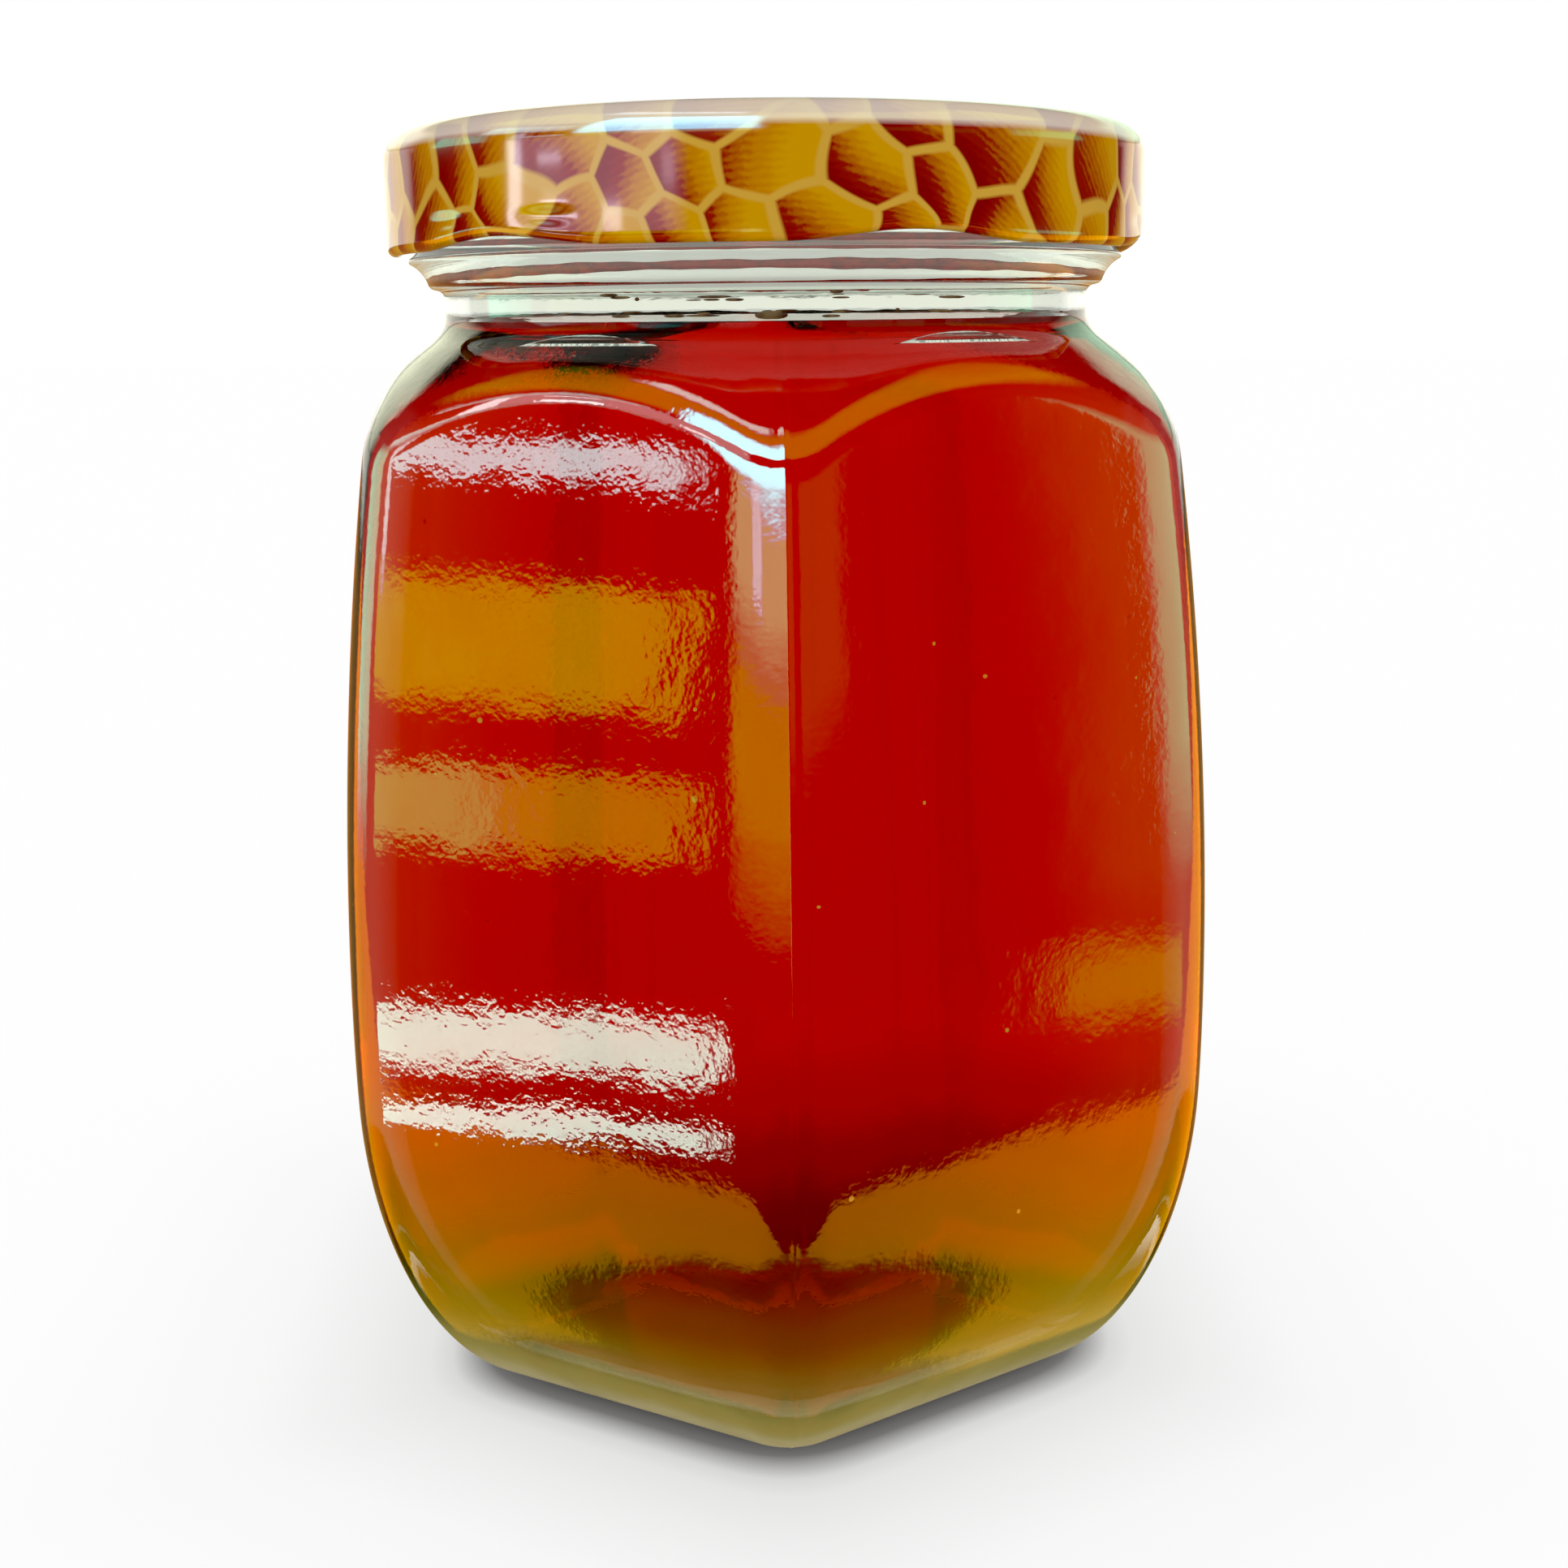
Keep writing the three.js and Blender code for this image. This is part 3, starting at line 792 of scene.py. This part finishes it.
# The largest drop: its azimuth, height and reach
BIG_SMEAR_AZIMUTH = -91.0
BIG_SMEAR_HEIGHT = 121.6
BIG_SMEAR_REACH = (0.4, 1.3, 0.5)
BUBBLES = 34
BUBBLE_HEIGHTS = (25, 104)
BUBBLE_SIZES = (0.12, 0.32)
BUBBLE_DEPTHS = (0.4, 2.4)
rng = np.random.default_rng(7)


def blob(centre, reach, turn, wobble=0.0, steps=10):
    """Points and faces of a small rounded lump: reach outward, along and up, turned round the axis."""
    points = []
    for k in range(1, steps):
        tilt = math.pi * k / steps
        for m in range(2 * steps):
            swing = TAU * m / (2 * steps)
            swell = 1 + wobble * math.sin(3 * swing + 5 * centre[2]) * math.sin(tilt)
            out = reach[0] * math.sin(tilt) * math.cos(swing)
            along = reach[1] * math.sin(tilt) * math.sin(swing) * swell
            points.append((out, along, reach[2] * math.cos(tilt) * swell))
    points += [(0, 0, reach[2]), (0, 0, -reach[2])]
    cos, sin = math.cos(turn), math.sin(turn)
    x, y, z = centre
    placed = [(x + o * cos - a * sin, y + o * sin + a * cos, z + u) for o, a, u in points]
    row = 2 * steps
    faces = []
    for k in range(steps - 2):
        for m in range(row):
            after = (m + 1) % row
            faces.append((k * row + m, (k + 1) * row + m, (k + 1) * row + after, k * row + after))
    top, bottom = len(points) - 2, len(points) - 1
    last = (steps - 2) * row
    for m in range(row):
        after = (m + 1) % row
        faces.append((top, m, after))
        faces.append((bottom, last + after, last + m))
    return placed, faces


def joined(name, parts):
    """One mesh from several sets of points and faces."""
    points, faces = [], []
    for some_points, some_faces in parts:
        faces += [tuple(len(points) + k for k in face) for face in some_faces]
        points += some_points
    return mesh_object(name, np.array(points) * MM, faces)


def make_smears():
    """Honey left on the inside of the neck: a film round it behind the bead, and small drops below."""
    steps = FILM_STEPS
    azimuth = np.linspace(0, TAU, steps, endpoint=False)
    inner, outer = FILM_RADIUS
    low, high = FILM_HEIGHTS
    sway = 0.18 * np.sin(5 * azimuth + 1) + 0.12 * np.sin(17 * azimuth) + 0.08 * np.sin(41 * azimuth + 2)
    section = ((inner + 0.25, low), (outer, low - 0.1), (outer, high + 0.1), (inner + 0.25, high))
    rings = [ring(azimuth, r, z + sway * (1 if z > low else -0.6)) for r, z in section]
    points = [tuple(p) for one in rings for p in one]
    faces = []
    for k in range(4):
        after = (k + 1) % 4
        for m in range(steps):
            side = (m + 1) % steps
            faces.append((k * steps + m, k * steps + side, after * steps + side, after * steps + m))
    parts = [(points, [face[::-1] for face in faces])]
    for _ in range(SMEARS):
        turn = math.radians(rng.uniform(*SMEAR_AZIMUTHS))
        z = rng.choice([rng.uniform(121.4, 122.2), rng.uniform(123.2, 124.2)])
        reach = (0.2, rng.uniform(0.2, 1.5), rng.uniform(0.06, 0.2))
        r = NECK_BORE_RADIUS + 0.05
        parts.append(blob((r * math.cos(turn), r * math.sin(turn), z), reach, turn, 0.3))
    turn = math.radians(BIG_SMEAR_AZIMUTH)
    r = NECK_BORE_RADIUS
    centre = (r * math.cos(turn), r * math.sin(turn), BIG_SMEAR_HEIGHT)
    parts.append(blob(centre, BIG_SMEAR_REACH, turn, 0.35))
    smears = joined("neck_smears", parts)
    n = material_nodes("honey_film")
    place, height = n.object_place()
    uneven = n.noise(place, 700.0, 3.0)
    film = n.ramp(uneven, [(0.35, (0.08, 0.001, 0.001)), (0.7, (0.17, 0.005, 0.002))])
    drop = n.ramp(uneven, [(0.35, (0.04, 0.016, 0.006)), (0.7, (0.13, 0.08, 0.035))])
    colour = n.mix(n.math("GREATER_THAN", height, FILM_ABOVE), drop, film)
    # painted glow: the film and drops emit their own colour, for the light that reaches them through the
    # glass
    surface = n.principled(Base_Color=colour, Roughness=0.15, Emission_Color=colour)
    surface.inputs["Emission Strength"].default_value = 1.0
    smears.data.materials.append(n.finish(surface))
    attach(smears, "root")


def make_bubbles():
    """Air bubbles close behind the glass, shown as pale specks by a painted glow of their own."""
    form = cavity(INTO_WALL)
    parts = []
    for _ in range(BUBBLES):
        z = rng.uniform(*BUBBLE_HEIGHTS)
        azimuth = rng.uniform(0, TAU)
        angle = azimuth - SECTOR * round(azimuth / SECTOR)
        size = rng.uniform(*BUBBLE_SIZES)
        wall = float(form.radius(np.array([angle]), np.array([z]))[0])
        r = wall - size - rng.uniform(*BUBBLE_DEPTHS)
        centre = (r * math.cos(azimuth), r * math.sin(azimuth), z)
        parts.append(blob(centre, (size, size, size * rng.uniform(0.8, 1.2)), azimuth, 0, 8))
    bubbles = joined("honey_bubbles", parts)
    n = material_nodes("air_in_honey")
    surface = n.principled(Base_Color=(0.9, 0.55, 0.12, 1), Roughness=0.2)
    # painted glow: a warm emission stands in for the light the bubbles catch
    surface.inputs["Emission Color"].default_value = (0.9, 0.42, 0.06, 1)
    surface.inputs["Emission Strength"].default_value = 0.5
    bubbles.data.materials.append(n.finish(surface))
    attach(bubbles, "root")


def dress(piece, slot, node, *materials):
    """The finishes, body and replaced node of a piece. Its slot is not used."""
    for material in materials:
        piece.data.materials.append(material)
    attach(piece, "root")
    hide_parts(node)


FLOOR_RADIUS = 6.0
FLOOR_COLUMNS = 96
WHITE = (1, 1, 1, 1)
# The painted shade on the floor round the foot, a darker glow near the jar: where it starts, from the axis to
# a side, and how far it reaches
CONTACT_AT = 0.032
SHADE_WIDTH = 0.06
SHADE_CORNERS = 0.012
SHADE = (
    (0.0, 0.02),
    (0.07, 0.15),
    (0.1, 0.4),
    (0.135, 0.7),
    (0.18, 0.81),
    (0.3, 0.88),
    (0.5, 0.96),
    (1.0, 1.0),
)
# Share of the floor's own white that the room's light doesn't change
FLOOR_GLOW_SHARE = 0.9
# The tabletop seen through the glass, its light painted as a glow: a little brighter near the jar, and bright
# like the room far off
TABLETOP_GLOW = 0.385
TABLETOP_NEAR_GLOW = 0.12
TABLETOP_NEAR = (0.06, 30.0)
TABLETOP_FAR = (0.5, 0.6)
TABLETOP_FAR_GLOW = 1.05


def make_floor():
    """A pale floor that runs on into the light behind it. Seen through the glass it is a dimmer tabletop."""
    turns = np.linspace(0, TAU, FLOOR_COLUMNS + 1)[:-1]
    rim = [(math.cos(a) * FLOOR_RADIUS, math.sin(a) * FLOOR_RADIUS, 0) for a in turns]
    floor = mesh_object("floor", rim, [tuple(range(FLOOR_COLUMNS))])
    n = material_nodes("pale_floor")
    place = n.add("TexCoord").outputs["Object"]
    away = n.vector("LENGTH", place)
    clear = 0.0
    for turn in (0, SECTOR, 2 * SECTOR):
        out = n.math("ABSOLUTE", n.vector("DOT_PRODUCT", place, (math.cos(turn), math.sin(turn), 0)))
        clear = n.math("SMOOTH_MAX", clear, out, SHADE_CORNERS)
    clear = n.math("DIVIDE", n.math("SUBTRACT", clear, CONTACT_AT), SHADE_WIDTH, clamp=True)
    shade = n.ramp(clear, [(at, (grey, grey, grey)) for at, grey in SHADE], "LINEAR")
    matt = n.add("BsdfDiffuse", Color=(0.95, 0.95, 0.95, 1))
    # painted shadow: the floor's glow takes the shade's grey
    glow = n.add("Emission", Color=shade, Strength=1.0)
    pale = n.add("MixShader", i0=FLOOR_GLOW_SHARE, i1=matt, i2=glow)

    end, rise = TABLETOP_NEAR
    near = n.math("MULTIPLY", n.math("SUBTRACT", end, away), rise, clamp=True)
    level = n.math("MULTIPLY_ADD", near, TABLETOP_NEAR_GLOW, TABLETOP_GLOW)
    dim = n.add("BsdfDiffuse", Color=(0.25, 0.25, 0.23, 1))
    dim = n.add("AddShader", i0=dim, i1=n.add("Emission", Color=WHITE, Strength=level))
    start, rise = TABLETOP_FAR
    far = n.math("MULTIPLY", n.math("SUBTRACT", away, start), rise, clamp=True)
    bright = n.add("Emission", Color=WHITE, Strength=TABLETOP_FAR_GLOW)
    table = n.add("MixShader", i0=far, i1=dim, i2=bright)
    through = n.add("LightPath").outputs["Is Transmission Ray"]
    floor.data.materials.append(n.finish(n.add("MixShader", i0=through, i1=pale, i2=table)))
    floor.visible_glossy = False


# Bright patches of the room that the gloss reflects: azimuths, softness, elevations, softness, level, colour
PATCHES = (
    ((-165.5, -150.6), 1.5, (7.7, 9.6), 0.5, 11.3, (0.43, 0.98, 1.0)),
    ((-184, -150), 3.0, (18, 32), 4.0, 7.8, (0.38, 0.98, 0.9)),
    ((-172, -100), 5.0, (60, 67), 3.0, 9.0, (0.6, 1, 0.9)),
    ((-147, -93), 2.0, (11, 50), 4.0, 25.0, (0.24, 0.95, 1.03)),
    ((-147, -93), 2.0, (2, 13), 6.0, 5.6, (0.5, 1, 0.42)),
    ((-147, -93), 2.0, (-10, 3), 7.0, 2.9, (0.5, 1, 0.04)),
    ((-99, -93), 2.0, (-15, 9), 4.0, 5.5, (0.5, 1, 0.3)),
    ((-130, -118), 3.0, (4.5, 12), 2.0, 9.0, (0.6, 1, 1)),
    ((-169, -164.5), 1.5, (2.5, 16), 3.0, 9.0, (0.6, 1, 1)),
    ((-203, -179.5), 3.0, (-9, 17), 7.0, 5.6, (0.2, 1, 0.64)),
    ((-16.5, 13), 2.0, (-10, 16), 7.0, 3.8, (0.05, 1, 0.45)),
    ((-172, -150.2), 1.0, (-3.2, 2.6), 1.0, 3.9, (0.5, 1, 0.03)),
    ((-166, -155.5), 2.0, (-10.6, -6.4), 0.8, 4.3, (0.3, 1, 0.2)),
    ((-156.5, -150), 1.0, (-10.6, -6.4), 0.8, 2.9, (0.5, 1, 0.05)),
    ((-166, -149.6), 0.8, (-21.4, -18.5), 0.6, 13.8, (0.5, 1, 0.82)),
    ((-166, -149.8), 0.8, (-25.2, -23.6), 0.3, 14.6, (0.6, 0.96, 0.8)),
    ((-200, 20), 10.0, (38, 60), 6.0, 2.1, (0.8, 1, 0.03)),
    ((-200, 20), 4.0, (-78, -37), 4.0, 1.25, (1.0, 0.12, 0.0)),
    ((94, 140), 12.0, (9, 26), 4.0, 2.0, (0.98, 1, 0.74)),
    ((40, 86), 12.0, (9, 26), 4.0, 1.4, (0.7, 1, 0.7)),
    ((38, 142), 8.0, (-1, 9), 2.0, 2.0, (0.82, 0.82, 0.7)),
    ((20, 160), 12.0, (-34, -2), 3.0, 0.6, (1.0, 0.5, 0.1)),
    ((-72, -27.5), 3.0, (-3, 14), 5.0, 0.55, (0.6, 1, 0.02)),
    ((-19.5, -8), 2.0, (-14, 14), 5.0, 0.35, (0.6, 1, 0.02)),
    ((-20.0, -12), 1.5, (-19.5, -16), 1.5, 2.1, (0.5, 1, 0.02)),
)
# The bright table round the jar lies between two edges, which fall with the azimuth off the camera's side
TABLE_MIDDLE = -87.0
TABLE_SIDES = (0, 125)
TABLE_FAR = -27.2
TABLE_FAR_SLOPE = 0.45
TABLE_CORNER_SLOPE = 0.23
TABLE_FAR_AT = 63.0
TABLE_NEAR = -40.0
TABLE_NEAR_SLOPE = -0.62
TABLE_NEAR_AT = 68.0
TABLE_NEAR_END = -59.0
TABLE_LEVEL = 1.65
TABLE_COLOUR = (2.1, 1.0, 0.03)
# How fast the table's light fades over its far edge, over its near edge and at its sides
TABLE_FADES = (0.7, 0.5, 6.0)
# Level of the dark room that the gloss reflects between the patches
ROOM_LEVEL = 0.03
# The room through the glass: its level low down, how much of it is lost above, from where and how fast
BEHIND_LEVEL = 1.05
BEHIND_LOSS = -0.72
BEHIND_FROM = 5.0
BEHIND_FADE = 0.12
BEHIND_BLUE = 0.95
# Unevenness of the patches' edges: its scale, and its size across and up in degrees
SWAYS = ((9.0, 1.6, 1.2), (300.0, 2.6, 1.2))


def range_share(n, value, low, high, soft):
    """1 inside a range, 0 outside it, with soft ends."""
    off = n.math("ABSOLUTE", n.math("SUBTRACT", value, (low + high) / 2))
    return n.math("DIVIDE", n.math("SUBTRACT", (high - low + soft) / 2, off), soft, clamp=True)


def degrees_of(n, angle):
    return n.math("MULTIPLY", angle, 180 / math.pi)


def patches_room(n, way, azimuth, elevation):
    """The dark room with its bright patches, whose edges sway and whose light is streaked."""
    across_sway, up_sway = azimuth, elevation
    for scale, side_size, up_size in SWAYS:
        uneven = n.add("TexNoise", Vector=way, Scale=scale, Detail=2.0)
        sway = n.add("SeparateXYZ", Vector=n.vector("SUBTRACT", uneven.outputs["Color"], (0.5, 0.5, 0.5)))
        across_sway = n.math("MULTIPLY_ADD", sway.outputs["X"], side_size, across_sway)
        up_sway = n.math("MULTIPLY_ADD", sway.outputs["Y"], up_size, up_sway)
    streaks = n.add("CombineXYZ", i0=azimuth, i1=n.math("MULTIPLY", elevation, 0.12)).outputs[0]
    streak = n.math("MULTIPLY_ADD", n.noise(streaks, 3.0, 3.0, 0.6), 0.9, 0.55)
    room = n.add("CombineXYZ", i0=ROOM_LEVEL, i1=ROOM_LEVEL, i2=ROOM_LEVEL).outputs[0]
    for (left, right), side_soft, (low, high), soft, level, colour in PATCHES:
        across = range_share(n, across_sway, left, right, side_soft)
        if left < -180:
            again = range_share(n, across_sway, left + 360, right + 360, side_soft)
            across = n.math("MAXIMUM", across, again)
        share = n.math("MULTIPLY", across, range_share(n, up_sway, low, high, soft))
        share = n.math("MULTIPLY", share, streak)
        room = n.vector("MAXIMUM", room, n.vector("SCALE", tuple(level * c for c in colour), share))
    return room


def mirrored_table(n, azimuth, elevation):
    """The bright table between its far and its near edge."""
    aside = n.math("ABSOLUTE", n.math("SUBTRACT", azimuth, TABLE_MIDDLE))
    aside = n.math("MINIMUM", aside, n.math("SUBTRACT", 360.0, aside))
    beyond = n.math("SUBTRACT", aside, TABLE_FAR_AT)
    far = n.math("MULTIPLY_ADD", n.math("MAXIMUM", beyond, 0.0), TABLE_FAR_SLOPE, TABLE_FAR)
    far = n.math("MULTIPLY_ADD", n.math("MINIMUM", beyond, 0.0), TABLE_CORNER_SLOPE, far)
    beyond = n.math("MAXIMUM", n.math("SUBTRACT", aside, TABLE_NEAR_AT), 0.0)
    near = n.math("MULTIPLY_ADD", beyond, TABLE_NEAR_SLOPE, TABLE_NEAR)
    near = n.math("MAXIMUM", near, TABLE_NEAR_END)
    far_fade, near_fade, side_fade = TABLE_FADES
    lit = n.math("MULTIPLY", n.math("SUBTRACT", far, elevation), far_fade, clamp=True)
    over = n.math("MULTIPLY", n.math("SUBTRACT", elevation, near), near_fade, clamp=True)
    lit = n.math("MULTIPLY", lit, over)
    lit = n.math("MULTIPLY", lit, range_share(n, aside, *TABLE_SIDES, side_fade))
    return n.vector("SCALE", tuple(TABLE_LEVEL * c for c in TABLE_COLOUR), lit)


def make_world():
    """White light all round; through glass the room is dimmer, and gloss shows a dark one with patches."""
    world = bpy.data.worlds.new("studio")
    n = Nodes(world, "OutputWorld")
    way = n.add("TexCoord").outputs["Generated"]
    direction = n.add("SeparateXYZ", Vector=way)
    x, y, z = (direction.outputs[axis] for axis in "XYZ")
    azimuth = degrees_of(n, n.math("ARCTAN2", y, x))
    elevation = degrees_of(n, n.math("ARCSINE", z))
    room = patches_room(n, way, azimuth, elevation)
    room = n.vector("MAXIMUM", room, mirrored_table(n, azimuth, elevation))
    level = n.math("MULTIPLY", n.math("SUBTRACT", elevation, BEHIND_FROM), BEHIND_FADE, clamp=True)
    level = n.math("MULTIPLY_ADD", level, BEHIND_LOSS, BEHIND_LEVEL)
    behind = n.add("CombineXYZ", i0=level, i1=level, i2=n.math("MULTIPLY", level, BEHIND_BLUE)).outputs[0]
    path = n.add("LightPath")
    plain = n.add("Background", Color=WHITE, Strength=1.0)
    mirrored = n.add("Background", Color=room, Strength=1.0)
    refracted = n.add("Background", Color=behind, Strength=1.0)
    seen = n.add("MixShader", i0=path.outputs["Is Glossy Ray"], i1=plain, i2=mirrored)
    seen = n.add("MixShader", i0=path.outputs["Is Transmission Ray"], i1=seen, i2=refracted)
    n.put(n.output, "Surface", seen)
    world.cycles.sampling_method = "NONE"
    bpy.context.scene.world = world


# A dark strip round the lid, at its own height, with bright windows: azimuths, heights in millimetres, level
FLAG_RADIUS = 90.0
FLAG_AZIMUTHS = (-192, 12)
FLAG_HEIGHTS = (130.6, 143.6)
FLAG_COLUMNS = 69
FLAG_LEVEL = 0.05
FLAG_COLOUR = (0.8, 1.0, 1.0, 1.0)
WINDOWS = (
    ((-150.5, -110.0), 4.0, (131.0, 144.0), 1.5, 3.2),
    ((-151.5, -147.5), 1.2, (130.0, 143.0), 1.0, 14.0),
    ((-143.0, -136.5), 0.8, (139.6, 140.6), 0.5, 18.0),
    ((-142.5, -135.5), 0.8, (131.5, 135.0), 0.8, 18.0),
    ((-127.0, -122.5), 0.8, (131.5, 135.0), 0.8, 14.0),
    ((-113.5, -110.5), 1.2, (136.5, 141.0), 1.5, 7.0),
)


def make_lid_flag():
    """What the lid's skirt mirrors: a strip of room that only its level look reaches."""
    low, high = FLAG_HEIGHTS
    turns = np.radians(np.linspace(*FLAG_AZIMUTHS, FLAG_COLUMNS))
    points = np.concatenate([ring(turns, FLAG_RADIUS, z) for z in (low, high)]) * MM
    count = FLAG_COLUMNS
    faces = [(k, k + 1, count + k + 1, count + k) for k in range(count - 1)]
    flag = mesh_object("lid_flag", points, faces)
    n = material_nodes("flag")
    place = n.add("SeparateXYZ", Vector=n.add("TexCoord").outputs["Object"])
    azimuth = degrees_of(n, n.math("ARCTAN2", place.outputs["Y"], place.outputs["X"]))
    height = n.math("DIVIDE", place.outputs["Z"], MM)
    level = FLAG_LEVEL
    for (left, right), side_soft, (low, high), soft, bright in WINDOWS:
        across = range_share(n, azimuth, left, right, side_soft)
        share = n.math("MULTIPLY", across, range_share(n, height, low, high, soft))
        level = n.math("MAXIMUM", level, n.math("MULTIPLY", share, bright))
    flag.data.materials.append(n.finish(n.add("Emission", Color=FLAG_COLOUR, Strength=level)))
    flag.visible_camera = False
    flag.visible_diffuse = False
    flag.visible_transmission = False
    flag.visible_shadow = False


def make_camera():
    data = bpy.data.cameras.new("camera")
    camera = bpy.data.objects.new("camera", data)
    bpy.context.scene.collection.objects.link(camera)
    data.lens = CAMERA_LENS
    data.sensor_width = SENSOR_WIDTH
    data.clip_start = CLIP_START
    turn = Matrix.Rotation(math.radians(CAMERA_TURN), 4, "Z")
    tilt = Matrix.Rotation(math.radians(90 - CAMERA_PITCH), 4, "X")
    roll = Matrix.Rotation(math.radians(CAMERA_ROLL), 4, "Z")
    place = Matrix.Translation(Vector((CAMERA_ACROSS, -CAMERA_BACK, CAMERA_HEIGHT)) * MM)
    camera.matrix_world = place @ turn @ tilt @ roll
    bpy.context.scene.camera = camera


BLACK_LEVEL = 0.007
BOUNCES = 12
GLOSSY_BOUNCES = 5


def set_rendering():
    scene = bpy.context.scene
    view = scene.view_settings
    view.view_transform = "Standard"
    view.use_curve_mapping = True
    view.curve_mapping.black_level = (BLACK_LEVEL, BLACK_LEVEL, BLACK_LEVEL)
    view.curve_mapping.update()
    scene.cycles.use_denoising = True
    scene.cycles.max_bounces = BOUNCES
    scene.cycles.transmission_bounces = BOUNCES
    scene.cycles.glossy_bounces = GLOSSY_BOUNCES
    scene.cycles.caustics_reflective = False
    scene.cycles.caustics_refractive = False


dress(
    make_glass(),
    "jar_glass",
    "glass_jar",
    glass_material(),
    wetted_glass_material(),
    stippled_glass_material(),
    neck_glass_material(),
)
dress(make_honey(), "honey", "honey", honey_material())
dress(make_lid(), "lid_print", "lid", lid_material(), enamel_material())
make_smears()
make_bubbles()
make_floor()
make_lid_flag()
make_world()
make_camera()
set_rendering()
